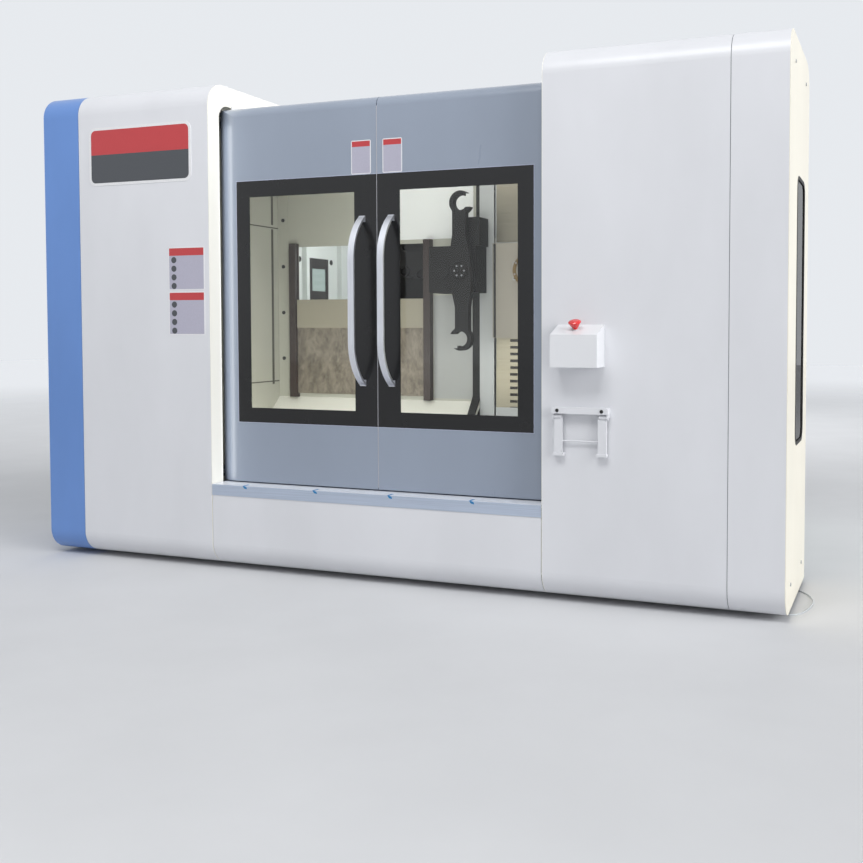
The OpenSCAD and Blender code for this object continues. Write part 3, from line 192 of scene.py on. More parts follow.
def mottled_steel(name, dark, light):
    """Bare shutter steel with the cloudy marks that coolant and chips leave."""
    material, surface = start_material(name)
    surface.inputs["Metallic"].default_value = 0.2
    patches = add_noise(material, scale=15.0, detail=9.0, roughness=0.74, stretch=(1.6, 1, 1))
    mix_colours(material, patches, dark, light, 0.36, 0.62)
    vary_roughness(material, patches, 0.62, 0.4)
    add_bump(material, patches, 0.4 * mm, 0.3)
    return material


def cast_paint(name, colour):
    """Machine enamel over a casting's grain."""
    material, _ = start_material(name)
    add_bump(material, add_noise(material, scale=70.0, detail=6.0, roughness=0.6), 1.2 * mm, 0.4)
    cloud = add_noise(material, scale=3.0, detail=5.0, roughness=0.6)
    mix_colours(material, cloud, shade(colour, 0.85), shade(colour, 1.1))
    vary_roughness(material, cloud, 0.42, 0.62)
    return material


def moulded(name, colour, roughness, coat=0.0, grain=320.0, depth=0.12 * mm):
    """Plastic, rubber or thick paint with a fine grain; with no depth the grain is colour only."""
    material, surface = start_material(name)
    speck = add_noise(material, scale=grain, detail=3.0, roughness=0.5)
    if depth:
        add_bump(material, speck, depth, 0.3)
    mix_colours(material, speck, shade(colour, 0.93), shade(colour, 1.05))
    dust = add_noise(material, scale=9.0, detail=5.0, roughness=0.6)
    vary_roughness(material, dust, roughness - 0.05, roughness + 0.08)
    add_clear_coat(surface, coat, 0.08)
    return material


def clear_pane(name, colour):
    """Laminated polycarbonate pane with faint wiping marks."""
    material, surface = start_material(name)
    surface.inputs["Base Color"].default_value = colour
    surface.inputs["Transmission Weight"].default_value = 1.0
    surface.inputs["IOR"].default_value = 1.35
    marks = add_noise(material, scale=2.0, detail=6.0, roughness=0.6, stretch=(1.5, 1.5, 4))
    vary_roughness(material, marks, 0.0, 0.035)
    return material


def lamp_cover(name, colour, strength):
    """Diffuser of a work light."""
    material, surface = start_material(name)
    ribs = add_pattern(material, "ShaderNodeTexWave", (1, 1, 1), Scale=60.0, Distortion=0.0)
    mix_colours(material, ribs, shade(colour, 0.9), colour, 0.0, 1.0)
    surface.inputs["Roughness"].default_value = 0.3
    surface.inputs["Emission Color"].default_value = colour
    surface.inputs["Emission Strength"].default_value = strength
    return material


white_coat = powder_coat("white powder coat", tone(217, 218, 222))
blue_coat = powder_coat("blue powder coat", tone(101, 140, 203), 0.33, streak=0.06)
door_coat = powder_coat("blue grey door coat", tone(141, 151, 167), 0.3, coat=0.9)
cream_coat = powder_coat("cream work area coat", tone(190, 190, 178), 0.42, streak=0.06)
pale_coat = powder_coat("pale chute coat", tone(236, 235, 226), 0.42, streak=0.03)
guard_coat = powder_coat("pale green guard coat", tone(226, 231, 228), 0.45, streak=0.03)
bay_coat = powder_coat("white bay coat", tone(237, 235, 226), 0.36, streak=0.02)
# Warm white of the right side panel, made lighter to stand in for the strong light from the right: partly the
# paint, partly painted light.
lit_side_coat = powder_coat("warm white side coat with painted light", tone(232, 227, 212), 0.4)
# Painted light: the control box's white is a lighter copy of the covers' white, standing in for the light
# that falls on the box.
lit_box_coat = powder_coat("white control box coat with painted light", tone(222, 223, 226), 0.36, streak=0.02)
rail_coat = powder_coat("shutter rail coat", tone(160, 154, 137), 0.45, streak=0.05)
grey_coat = powder_coat("light grey cabinet coat", tone(190, 193, 194), 0.45)
column_coat = powder_coat("pale grey column cover coat", tone(196, 199, 199), 0.4, streak=0.07)
head_coat = powder_coat("warm grey head coat", tone(158, 152, 140), 0.46, peel=0.5 * mm, streak=0.14)
black_border = moulded("gloss black window border", tone(16, 16, 17), 0.24, 0.12, 900.0, 0.01 * mm)
black_coat = moulded("black machine coat", tone(21, 20, 20), 0.62, 0.0, 24.0, 0.0)
surface_of(black_coat).inputs["Specular IOR Level"].default_value = 0.3
post_coat = moulded("dark brown post coat", tone(52, 38, 33), 0.4, 0.1)
curtain_rubber = moulded("black curtain rubber", tone(20, 20, 20), 0.65)
seal_rubber = moulded("seal rubber", tone(26, 26, 27), 0.6)
red_plastic = moulded("red push button plastic", tone(214, 36, 34), 0.22, 0.5)
casting = cast_paint("grey casting enamel", tone(112, 120, 126))
frame_paint = cast_paint("dark frame enamel", tone(84, 90, 97))
stainless = brushed_metal("brushed stainless sill", tone(196, 206, 222), (2, 260, 260), 0.42)
cover_steel = brushed_metal("way cover steel", tone(166, 160, 142), (3, 200, 320), 0.44)
worn_steel = brushed_metal("worn way cover steel", tone(150, 145, 131), (3, 200, 320), 0.44)
handle_metal = brushed_metal("brushed aluminium handle", tone(226, 228, 234), (700, 700, 6), 0.42)
ground_steel = brushed_metal("ground steel", tone(176, 180, 184), (160, 9, 160), 0.28)
screw_steel = brushed_metal("screw steel", tone(168, 170, 174), (300, 300, 300), 0.32)
shutter_steel = mottled_steel("mottled shutter steel", tone(104, 96, 86), tone(150, 141, 127))
pane = clear_pane("clear pane", (0.965, 0.985, 0.975, 1.0))
# Painted shade: a near-black tint with almost no reflection makes the side window read as a dark slot.
shade_tinted_pane = clear_pane("side pane with painted shade", (0.09, 0.088, 0.085, 1.0))
surface_of(shade_tinted_pane).inputs["IOR"].default_value = 1.06
light_cover = lamp_cover("work light cover", tone(255, 250, 238), 2.2)
# Black paint of the black screws, and painted shade: the dark of screw sockets and of the guard's holes.
black_and_recess_shade = moulded("black paint and painted recess shade", tone(18, 18, 18), 0.5)

finishes = {
    white_coat: ["front_cover_left", "door_apron", "front_cover_right", "corner_cover_right",
                 "housing_backs", "work_roof", "bracket_bar", "bracket_frame"],
    lit_box_coat: ["stop_box"],
    blue_coat: ["end_cover_left"],
    door_coat: ["left_door_panel", "right_door_panel"],
    cream_coat: ["splash_walls", "rear_splash_wall"],
    rail_coat: ["shutter_rail"],
    pale_coat: ["chip_chute"],
    guard_coat: ["rear_guard"],
    bay_coat: ["inner_walls"],
    lit_side_coat: ["side_panel_right"],
    grey_coat: ["cabinet_body", "cabinet_door_left", "cabinet_door_right", "coolant_tank"],
    column_coat: ["column_panels"],
    head_coat: ["headstock"],
    black_border: ["left_window_border", "right_window_border"],
    black_coat: ["atc_cam_box", "atc_arm", "magazine_disc", "magazine_plate", "head_nut_drive"],
    post_coat: ["shutter_posts"],
    curtain_rubber: ["column_curtain"],
    red_plastic: ["stop_button"],
    casting: ["bed_casting", "column_casting", "saddle", "table_slide"],
    frame_paint: ["enclosure_frame"],
    stainless: ["door_sill", "saddle_cover_front", "saddle_cover_rear"],
    cover_steel: ["head_cover_lower_a", "head_cover_lower_b"],
    worn_steel: ["head_cover_upper_a", "head_cover_upper_b"],
    handle_metal: ["left_door_handle", "right_door_handle"],
    ground_steel: ["spindle", "rotary_pallet", "head_ball_screw", "atc_quill", "door_rails",
                   "levelling_feet"],
    shutter_steel: ["shutter_panel"],
    pane: ["left_window_glass", "right_window_glass"],
    shade_tinted_pane: ["side_window"],
}
for material, names in finishes.items():
    for name in names:
        for material_slot in nodes[name].material_slots:
            material_slot.material = material


# Helpers for meshes

# Greatest angle in degrees that is shaded as one round face; none for a flat piece
round_angle = 35
flat = 0


def finish_mesh(name, mesh_data):
    bmesh.ops.recalc_face_normals(mesh_data, faces=mesh_data.faces)
    mesh = bpy.data.meshes.new(name)
    mesh_data.to_mesh(mesh)
    mesh_data.free()
    return mesh


def add_piece(name, mesh, body, materials):
    piece = bpy.data.objects.new(name, mesh)
    bpy.context.collection.objects.link(piece)
    numbers = [polygon.material_index for polygon in mesh.polygons]
    mesh.materials.clear()
    for material in materials:
        mesh.materials.append(material)
    mesh.polygons.foreach_set("material_index", numbers)
    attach(piece, body)
    return piece


def smooth_round_faces(mesh, angle):
    for polygon in mesh.polygons:
        polygon.use_smooth = True
    mesh.set_sharp_from_angle(angle=math.radians(angle))


def add_block(shape, low, high, material=0, bevel=0.0):
    """A box between two corners, with its edges rounded by the bevel."""
    corners = [Vector((x, y, z)) for x in (low[0], high[0])
               for y in (low[1], high[1]) for z in (low[2], high[2])]
    verts = [shape.verts.new(corner) for corner in corners]
    quads = [(0, 1, 3, 2), (4, 6, 7, 5), (0, 4, 5, 1), (2, 3, 7, 6), (0, 2, 6, 4), (1, 5, 7, 3)]
    faces = [shape.faces.new([verts[i] for i in quad]) for quad in quads]
    for face in faces:
        face.material_index = material
    if bevel:
        edges = list({edge for face in faces for edge in face.edges})
        made = bmesh.ops.bevel(shape, geom=edges, offset=bevel, segments=2, affect="EDGES", profile=0.7)
        for face in made["faces"]:
            face.material_index = material


def add_rod(shape, start, end, radius, material=0, segments=32, end_radius=None):
    """A straight round bar or cone from one point to another."""
    start, end = Vector(start), Vector(end)
    along = end - start
    turn = Vector((0, 0, 1)).rotation_difference(along).to_matrix().to_4x4()
    made = bmesh.ops.create_cone(
        shape, cap_ends=True, segments=segments, radius1=radius,
        radius2=radius if end_radius is None else end_radius, depth=along.length,
        matrix=Matrix.Translation((start + end) / 2) @ turn)
    for face in {face for vert in made["verts"] for face in vert.link_faces}:
        face.material_index = material


def rounded_outline(u0, v0, u1, v1, radius, steps=8):
    """Points round a rectangle with round corners, anticlockwise."""
    points = []
    for cu, cv, first in ((u1 - radius, v0 + radius, -90), (u1 - radius, v1 - radius, 0),
                          (u0 + radius, v1 - radius, 90), (u0 + radius, v0 + radius, 180)):
        for step in range(steps + 1):
            angle = math.radians(first + 90 * step / steps)
            points.append((cu + radius * math.cos(angle), cv + radius * math.sin(angle)))
    return points


def add_sheet(shape, outline, place, thickness, material=0):
    """A flat sheet from an outline: place(u, v, depth) gives each point of its two faces."""
    front = [shape.verts.new(place(u, v, thickness)) for u, v in outline]
    back = [shape.verts.new(place(u, v, 0)) for u, v in outline]
    shape.faces.new(front).material_index = material
    shape.faces.new(back[::-1]).material_index = material
    count = len(outline)
    for i in range(count):
        k = (i + 1) % count
        shape.faces.new([front[i], back[i], back[k], front[k]]).material_index = material


def add_ring(shape, outer, inner, place, thickness, material=0):
    """A flat frame between two outlines of equal length."""
    rows = [[shape.verts.new(place(u, v, depth)) for u, v in outline]
            for outline, depth in ((outer, 0), (outer, thickness), (inner, thickness), (inner, 0))]
    count = len(outer)
    for i in range(count):
        k = (i + 1) % count
        for a, b in ((0, 1), (1, 2), (2, 3), (3, 0)):
            shape.faces.new([rows[a][i], rows[b][i], rows[b][k], rows[a][k]]).material_index = material


def on_front(y):
    """Places an X-Z outline on a face that looks to the front, standing out towards the viewer."""
    return lambda u, v, depth: (u, y - depth, v)


def on_right_side(x):
    """Places a Y-Z outline on a face that looks along +X."""
    return lambda u, v, depth: (x + depth, u, v)


def rectangle(u0, v0, u1, v1):
    """Corners of a rectangle, anticlockwise."""
    return [(u0, v0), (u1, v0), (u1, v1), (u0, v1)]


def build(name, body, materials, draw, smooth=round_angle):
    """Draws a piece into a new mesh and lets it ride on a body."""
    shape = bmesh.new()
    draw(shape)
    mesh = finish_mesh(name, shape)
    if smooth:
        smooth_round_faces(mesh, smooth)
    return add_piece(name, mesh, body, materials)


# Node trees for what repeats

def start_tree(name, inputs):
    """A Geometry Nodes tree with its named inputs, its input node and its output node."""
    tree = bpy.data.node_groups.new(name, "GeometryNodeTree")
    face = tree.interface
    face.new_socket("Geometry", in_out="INPUT", socket_type="NodeSocketGeometry")
    for label, kind, value in inputs:
        socket = face.new_socket(label, in_out="INPUT", socket_type="NodeSocket" + kind)
        if value is not None:
            socket.default_value = value
    face.new_socket("Geometry", in_out="OUTPUT", socket_type="NodeSocketGeometry")
    return tree, tree.nodes.new("NodeGroupInput"), tree.nodes.new("NodeGroupOutput")


def make_screw_tree():
    """One screw head at every point, turned to its face."""
    tree, given, result = start_tree("screw heads", (
        ("Head radius", "Float", 0.008), ("Head height", "Float", 0.005),
        ("Head material", "Material", None), ("Socket shade material", "Material", None)))
    add = tree.nodes.new
    link = tree.links.new

    def scaled(name, share):
        node = add("ShaderNodeMath")
        node.operation = "MULTIPLY"
        node.inputs[1].default_value = share
        link(given.outputs[name], node.inputs[0])
        return node.outputs[0]

    def part(sides, low_share, high_share, depth_share, lift_share, material):
        """A round layer of the head, its measures as shares of the head's radius and height."""
        cone = add("GeometryNodeMeshCone")
        cone.inputs["Vertices"].default_value = sides
        link(scaled("Head radius", low_share), cone.inputs["Radius Bottom"])
        link(scaled("Head radius", high_share), cone.inputs["Radius Top"])
        link(scaled("Head height", depth_share), cone.inputs["Depth"])
        lift = add("ShaderNodeCombineXYZ")
        link(scaled("Head height", lift_share), lift.inputs["Z"])
        move = add("GeometryNodeTransform")
        link(cone.outputs["Mesh"], move.inputs["Geometry"])
        link(lift.outputs["Vector"], move.inputs["Translation"])
        paint = add("GeometryNodeSetMaterial")
        link(move.outputs["Geometry"], paint.inputs["Geometry"])
        link(given.outputs[material], paint.inputs["Material"])
        return paint.outputs["Geometry"]

    join = add("GeometryNodeJoinGeometry")
    link(part(20, 1.0, 1.0, 0.7, 0.0, "Head material"), join.inputs["Geometry"])
    link(part(20, 1.0, 0.82, 0.3, 0.7, "Head material"), join.inputs["Geometry"])
    # The socket: a thin dark hexagon on top of the head, painted shade in place of a recess.
    link(part(6, 0.46, 0.44, 0.04, 0.99, "Socket shade material"), join.inputs["Geometry"])
    facing = add("GeometryNodeInputNamedAttribute")
    facing.data_type = "FLOAT_VECTOR"
    facing.inputs["Name"].default_value = "facing"
    turn = add("FunctionNodeAlignRotationToVector")
    turn.axis = "Z"
    link(facing.outputs["Attribute"], turn.inputs["Vector"])
    place = add("GeometryNodeInstanceOnPoints")
    link(given.outputs["Geometry"], place.inputs["Points"])
    link(join.outputs["Geometry"], place.inputs["Instance"])
    link(turn.outputs["Rotation"], place.inputs["Rotation"])
    real = add("GeometryNodeRealizeInstances")
    link(place.outputs["Instances"], real.inputs["Geometry"])
    link(real.outputs["Geometry"], result.inputs["Geometry"])
    return tree


def make_bar_tree():
    """One box at every point of a line."""
    tree, given, result = start_tree("bar row", (
        ("Bars", "Int", 5), ("First centre", "Vector", (0, 0, 0)), ("Step", "Vector", (0, 0, 0.044)),
        ("Bar size", "Vector", (0.05, 0.01, 0.02)), ("Bar material", "Material", None)))
    add = tree.nodes.new
    link = tree.links.new
    line = add("GeometryNodeMeshLine")
    line.mode = "OFFSET"
    link(given.outputs["Bars"], line.inputs["Count"])
    link(given.outputs["First centre"], line.inputs["Start Location"])
    link(given.outputs["Step"], line.inputs["Offset"])
    bar = add("GeometryNodeMeshCube")
    link(given.outputs["Bar size"], bar.inputs["Size"])
    place = add("GeometryNodeInstanceOnPoints")
    link(line.outputs["Mesh"], place.inputs["Points"])
    link(bar.outputs["Mesh"], place.inputs["Instance"])
    real = add("GeometryNodeRealizeInstances")
    link(place.outputs["Instances"], real.inputs["Geometry"])
    paint = add("GeometryNodeSetMaterial")
    link(real.outputs["Geometry"], paint.inputs["Geometry"])
    link(given.outputs["Bar material"], paint.inputs["Material"])
    link(paint.outputs["Geometry"], result.inputs["Geometry"])
    return tree


screw_tree = make_screw_tree()
bar_tree = make_bar_tree()


def mesh_from_tree(name, seed, tree, values):
    """Runs a node tree on a seed mesh and returns the result as a plain mesh."""
    holder = bpy.data.objects.new(name + "_points", seed)
    bpy.context.collection.objects.link(holder)
    modifier = holder.modifiers.new(tree.name, "NODES")
    modifier.node_group = tree
    for socket in tree.interface.items_tree:
        if socket.in_out == "INPUT" and socket.name in values:
            modifier[socket.identifier] = values[socket.name]
    graph = bpy.context.evaluated_depsgraph_get()
    mesh = bpy.data.meshes.new_from_object(holder.evaluated_get(graph))
    bpy.data.objects.remove(holder)
    return mesh


def add_screws(name, body, record_slot, points, facing, radius, height, head=None):
    """Screw heads at the points, all facing one way."""
    seed = bpy.data.meshes.new(name)
    seed.from_pydata([tuple(point) for point in points], [], [])
    direction = seed.attributes.new("facing", "FLOAT_VECTOR", "POINT")
    for entry in direction.data:
        entry.vector = facing
    mesh = mesh_from_tree(name, seed, screw_tree,
                          {"Head radius": radius, "Head height": height,
                           "Head material": head or screw_steel, "Socket shade material": black_and_recess_shade})
    materials = [head or screw_steel, black_and_recess_shade]
    kept = [polygon.material_index for polygon in mesh.polygons]
    names = [material.name if material else "" for material in mesh.materials]
    piece = add_piece(name, mesh, body, materials)
    for polygon, index in zip(mesh.polygons, kept):
        polygon.material_index = 1 if names[index] == black_and_recess_shade.name else 0
    smooth_round_faces(mesh, 30)
    return piece


def add_bar_row(name, body, material, count, first, step, size):
    """A row of equal boxes, from the centre of the first one."""
    mesh = mesh_from_tree(name, bpy.data.meshes.new(name), bar_tree,
                          {"Bars": count, "First centre": first, "Step": step, "Bar size": size,
                           "Bar material": material})
    return add_piece(name, mesh, body, [material])


def grid(xs, ys, zs):
    """Points at every crossing of the places along X, Y and Z."""
    return [(x, y, z) for x in xs for y in ys for z in zs]


def steps_between(first, last, count):
    """Equal steps from the first value to the last."""
    return [first + (last - first) * i / (count - 1) for i in range(count)]


# Clear drain hose on the floor

hose_radius = 0.003
hose_end = 0.047
hose_route = [
    (2.092, -0.869, hose_end), (2.094, -0.870, 0.032), (2.104, -0.874, 0.016), (2.122, -0.883, 0.007),
    (2.150, -0.903, 0.003), (2.180, -0.933, 0.003), (2.204, -0.973, 0.003), (2.224, -1.025, 0.003),
    (2.235, -1.075, 0.003), (2.238, -1.125, 0.003), (2.236, -1.175, 0.003), (2.229, -1.225, 0.003),
    (2.218, -1.275, 0.003), (2.202, -1.319, 0.003), (2.180, -1.353, 0.003), (2.152, -1.371, 0.003),
    (2.122, -1.373, 0.007), (2.096, -1.367, 0.016), (2.083, -1.362, 0.032), (2.080, -1.361, hose_end)]


def smooth_route(points, between=6):
    """Points on a smooth curve through a route."""
    route = [Vector(point) for point in points]
    route = [route[0] * 2 - route[1]] + route + [route[-1] * 2 - route[-2]]
    curve = []
    for a, b, c, d in zip(route, route[1:], route[2:], route[3:]):
        for step in range(between):
            t = step / between
            curve.append(0.5 * (2 * b + (c - a) * t + (2 * a - 5 * b + 4 * c - d) * t * t
                                + (3 * b - 3 * c + d - a) * t ** 3))
    curve.append(route[-2])
    return [Vector((p.x, p.y, max(p.z, hose_radius))) for p in curve]


def make_hose():
    path = smooth_route(hose_route)
    curve = bpy.data.curves.new("clear_hose", "CURVE")
    curve.dimensions = "3D"
    curve.bevel_depth = hose_radius
    curve.bevel_resolution = 4
    curve.use_fill_caps = True
    line = curve.splines.new("POLY")
    line.points.add(len(path) - 1)
    for point, place in zip(line.points, path):
        point.co = (*place, 1.0)
    material = moulded("clear hose plastic", tone(222, 228, 232), 0.18, 0.4)
    surface_of(material).inputs["Transmission Weight"].default_value = 0.35
    curve.materials.append(material)
    piece = bpy.data.objects.new("clear_hose", curve)
    bpy.context.collection.objects.link(piece)
    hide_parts("drain_hose")
    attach(piece, "machine")


make_hose()


# Camera as in the photograph

def make_camera():
    data = bpy.data.cameras.new("camera")
    data.lens = 42.679
    data.sensor_width = 36
    data.shift_x = -0.1116
    data.shift_y = -0.0749
    data.clip_end = 200
    camera = bpy.data.objects.new("camera", data)
    camera.location = (2.6675, -6.2999, 1.375)
    camera.rotation_euler = (math.radians(90 - 2.3293), 0, math.radians(20.4584))
    bpy.context.collection.objects.link(camera)
    bpy.context.scene.camera = camera


make_camera()


# Generic plates on the covers and doors

plate_red = moulded("plate red", tone(188, 58, 62), 0.3, 0.3)
plate_dark = moulded("plate charcoal", tone(68, 71, 76), 0.3, 0.3)
plate_white = moulded("plate white", tone(228, 228, 230), 0.3, 0.3)
plate_lilac = moulded("plate grey lilac", tone(176, 174, 190), 0.32, 0.3)
# Where each paint stands in a plate's list of materials
base_paint, band_paint, field_paint, dot_paint = range(4)


def large_plate(shape):
    """Plate of the left cover with a red field over a dark one."""
    x0, z0, x1, z1 = -1.816, 2.181, -1.097, 2.515
    rim, outer_corner, inner_corner, dark_share = 0.016, 0.045, 0.03, 0.53
    base_depth, field_depth = 2 * mm, 0.6 * mm
    step = z0 + (z1 - z0) * dark_share
    outer = rounded_outline(x0, z0, x1, z1, outer_corner)
    add_sheet(shape, outer, on_front(cover_front), base_depth, base_paint)
    inner = rounded_outline(x0 + rim, z0 + rim, x1 - rim, z1 - rim, inner_corner)

    def turn(point):
        return math.atan2(point[1] - step, point[0] - (x0 + x1) / 2)

    dark_field = sorted([point for point in inner if point[1] <= step], key=turn)
    red_field = sorted([point for point in inner if point[1] > step], key=turn)
    raised = on_front(cover_front - base_depth)
    add_sheet(shape, [(x0 + rim, step)] + dark_field + [(x1 - rim, step)], raised, field_depth, field_paint)
    add_sheet(shape, [(x1 - rim, step)] + red_field + [(x0 + rim, step)], raised, field_depth, band_paint)


def banded_plate(shape, place, face, depth, rim, corner, band_height):
    """A plain plate with a band along its top; returns the height of the band's lower edge."""
    x0, z0, x1, z1 = place
    add_sheet(shape, rounded_outline(x0, z0, x1, z1, corner, 5), on_front(face), depth, base_paint)
    raised = on_front(face - depth)
    band = z1 - band_height
    for low, high, paint in ((z0 + rim, band, field_paint), (band, z1 - rim, band_paint)):
        add_sheet(shape, rectangle(x0 + rim, low, x1 - rim, high), raised, 0.3 * mm, paint)
    return band


def cover_plates(shape):
    """Two banded plates on the left cover, each with four dark dots down its left side."""
    dots, dot_inset = 4, 0.038
    for place in ((-1.262, 1.572, -1.016, 1.814), (-1.262, 1.320, -1.016, 1.564)):
        band = banded_plate(shape, place, cover_front,
                            depth=1.0 * mm, rim=0.006, corner=0.012, band_height=0.048)
        dot_x, low = place[0] + dot_inset, place[1]
        for i in range(dots):
            height = band - (band - low) * (i + 0.5) / dots
            add_rod(shape, (dot_x, cover_front - 1.2 * mm, height), (dot_x, cover_front - 1.9 * mm, height),
                    min(0.018, (band - low) * 0.09), dot_paint, 24)


def door_plate(shape, place):
    banded_plate(shape, place, door_face, depth=0.8 * mm, rim=0.005, corner=0.008, band_height=0.034)


build("cover_plate", "machine", [plate_white, plate_red, plate_dark], large_plate)
build("cover_small_plates", "machine", [plate_white, plate_red, plate_lilac, plate_dark],
      cover_plates)
build("left_door_plate", "left_door", [plate_white, plate_red, plate_lilac],
      lambda shape: door_plate(shape, (-0.149, 2.181, -0.030, 2.361)))
build("right_door_plate", "right_door", [plate_white, plate_red, plate_lilac],
      lambda shape: door_plate(shape, (0.040, 2.181, 0.156, 2.361)))


# Seals, and painted highlights round the window borders

bead_width = 3.5 * mm
bead_inset = Vector((bead_width, 0, 0))


def meeting_lip(shape):
    """Pale lip down the left leaf's free edge."""
    edge = door_left[1].x
    add_block(shape, (edge, door_face - 1.5 * mm, door_left[0].z + 0.01),
              (edge + bead_width, door_face + 0.04, door_left[1].z - 0.058), 0, 0.8 * mm)


def border_highlight(shape, low, high):
    """Pale ring between the door's paint and the black border: a painted highlight of the border's edge."""
    outer = rectangle(low.x - bead_width, low.z - bead_width, high.x + bead_width, high.z + bead_width)
    add_ring(shape, outer, rectangle(low.x, low.z, high.x, high.z), on_front(door_face), 1.4 * mm)


def pane_gasket(shape):
    """Rubber frame over the edge of the side window."""
    cover, grow, corner = 0.02, 0.012, 0.06
    half = grow / 2
    y0, z0 = side_pane[0].y + cover, side_pane[0].z + cover
    y1, z1 = side_pane[1].y - cover, side_pane[1].z - cover
    outer = rounded_outline(y0 - grow, z0 - grow, y1 + grow, z1 + grow, corner + grow, 10)
    inner = rounded_outline(y0 + half, z0 + half, y1 - half, z1 - half, corner - half, 10)
    add_ring(shape, outer, inner, on_right_side(side_panel[1].x - 2 * mm), 4 * mm)


lip_grey = moulded("pale meeting lip", tone(176, 176, 182), 0.45)
# Painted highlight: pale blue-grey rings round the window borders stand in for light caught on their edges.
border_highlight_coat = powder_coat("painted border highlight", tone(178, 184, 204), 0.35)
build("door_meeting_seal", "left_door", [lip_grey], meeting_lip)
build("left_border_highlight", "left_door", [border_highlight_coat],
      lambda shape: border_highlight(shape, border_left[0], border_left[1] - bead_inset), flat)
build("right_border_highlight", "right_door", [border_highlight_coat],
      lambda shape: border_highlight(shape, border_right[0] + bead_inset, border_right[1]), flat)
build("side_window_gasket", "machine", [seal_rubber], pane_gasket)


# Screws on the front and the right side

add_screws("bracket_screws", "machine", "bare_steel",
           grid([bracket[0].x + 0.03, bracket[1].x - 0.03], [bracket[0].y], [bracket[1].z - 0.015]),
           (0, -1, 0), radius=0.0085, height=0.004, head=black_and_recess_shade)
add_screws("side_panel_screws", "machine", "bare_steel",
           grid([side_panel[1].x], [cover_front + 0.206, cover_front + 0.7], [0.148, 2.6]),
           (1, 0, 0), radius=0.009, height=0.004)


# Lining of the work area

seam_paint = moulded("dark seam", tone(88, 86, 78), 0.6)
# Painted light: a near-white sheet stands in for bright light seen through an opening above the cam box.
lit_opening_white = powder_coat("painted light sheet", tone(244, 246, 245), 0.4, streak=0.02)
panel_grey = powder_coat("grey changer sheet", tone(176, 178, 176), 0.42, streak=0.04)
left_wall = splash[0].x + 3 * mm
right_wall = splash[1].x - 3 * mm
strip_depth = 3 * mm


def lining_seams(shape):
    """Lap joints across the left wall, the joint beside its rear corner, two joints of the right wall."""
    lining_front, half, proud = cover_front + 0.36, 4 * mm, 1.2 * mm
    for height in (2.06, 0.98):
        add_block(shape, (left_wall, lining_front, height - half),
                  (left_wall + proud, rear_face, height + half))
    for low, high in ((0.96, 2.05), (2.08, 2.45)):
        add_block(shape, (left_wall, rear_face - 0.085, low), (left_wall + 2 * mm, rear_face - 0.062, high))
    for place in (0.42, 0.84):
        depth = lining_front + place
        add_block(shape, (right_wall - proud, depth - 3 * mm, 0.9), (right_wall, depth + 3 * mm, 2.5))


def bolted_strip(shape):
    """Upright strip on the rear wall, in its left corner."""
    outline = rectangle(left_wall + 0.002, 0.90, left_wall + 0.082, 2.45)
    add_sheet(shape, outline, on_front(rear_face), strip_depth)


def changer_sheets(shape):
    """White sheet above the cam box, painted light standing in for bright light seen through an opening
    there, and grey sheet below it.
    """
    right = -0.036
    lit_opening_sheet = rectangle(-0.60, 1.952, right, roof[0].z - 0.02)
    grey_sheet = rectangle(posts[1].x + 0.006, 0.885, right, 1.574)
    for material, outline in enumerate((lit_opening_sheet, grey_sheet)):
        add_sheet(shape, outline, on_front(rear_face), 2 * mm, material)


build("lining_seams", "machine", [seam_paint], lining_seams, flat)
build("corner_strip", "machine", [cream_coat], bolted_strip, flat)
add_screws("corner_strip_bolts", "machine", "bare_steel",
           grid([-1.503], [rear_face - strip_depth], [2.116, 1.790, 1.465, 1.141]),
           (0, -1, 0), radius=0.013, height=0.007, head=black_and_recess_shade)
build("changer_sheets", "machine", [lit_opening_white, panel_grey], changer_sheets, flat)


# Guard window beyond the shutter, with the holes of its wall

guard_wall = guard[0].x + 0.003
guard_pane = clear_pane("green guard pane", (0.44, 0.53, 0.48, 1.0))
frame_brown = moulded("dark window frame", tone(30, 22, 20), 0.5)


def guard_window_frame(shape):
    """Bars on the wall's inner face, round the opening and across it, and a sheet beside them."""
    y0, y1, y2, y3 = 0.397, 0.435, 0.625, 0.663
    low, high = 1.155, 1.885
    for bar_y0, bar_z0, bar_y1, bar_z1 in ((y0, low, y1, high), (y2, low, y3, high), (y1, 1.806, y2, high),
                                           (y1, low, y2, 1.195), (y1, 1.571, y2, 1.637)):
        add_block(shape, (guard_wall, bar_y0, bar_z0), (guard_wall + 0.006, bar_y1, bar_z1), 0, 0.001)
    add_block(shape, (guard_wall, y3, low), (guard_wall + 0.002, 0.742, 1.892), 1)


def guard_window_pane(shape):
    add_block(shape, (guard_wall - 0.002, 0.432, 1.182), (guard_wall + 0.001, 0.718, 1.858))


def guard_holes(shape):
    """Two round holes and a slot, drawn as dark discs on the wall: painted shade where the openings are."""
    hole_radius, slot_radius = 0.021, 0.013
    for y, z in ((0.269, 1.868), (0.712, 1.865)):
        add_rod(shape, (guard_wall, y, z), (guard_wall + 0.0035, y, z), hole_radius, 0, 24)
    slot = rounded_outline(0.848, 1.588, 0.878, 1.648, slot_radius, 5)
    add_sheet(shape, slot, on_right_side(guard_wall), 1.5 * mm)


build("guard_window_frame", "machine", [frame_brown, guard_coat], guard_window_frame)
build("guard_window_pane", "machine", [guard_pane], guard_window_pane, flat)
build("guard_holes", "machine", [black_and_recess_shade], guard_holes, flat)


# Sheet joints and screws on the guard's outside

joint_grey = moulded("grey sheet joint", tone(126, 131, 129), 0.6)
guard_left, guard_right = guard[0].x, guard[1].x
guard_back, guard_top = guard[1].y, guard[1].z
guard_rim = guard_top - 0.03
side_start = cover_front + 0.93
joint_xs = (-0.62, 0.52)


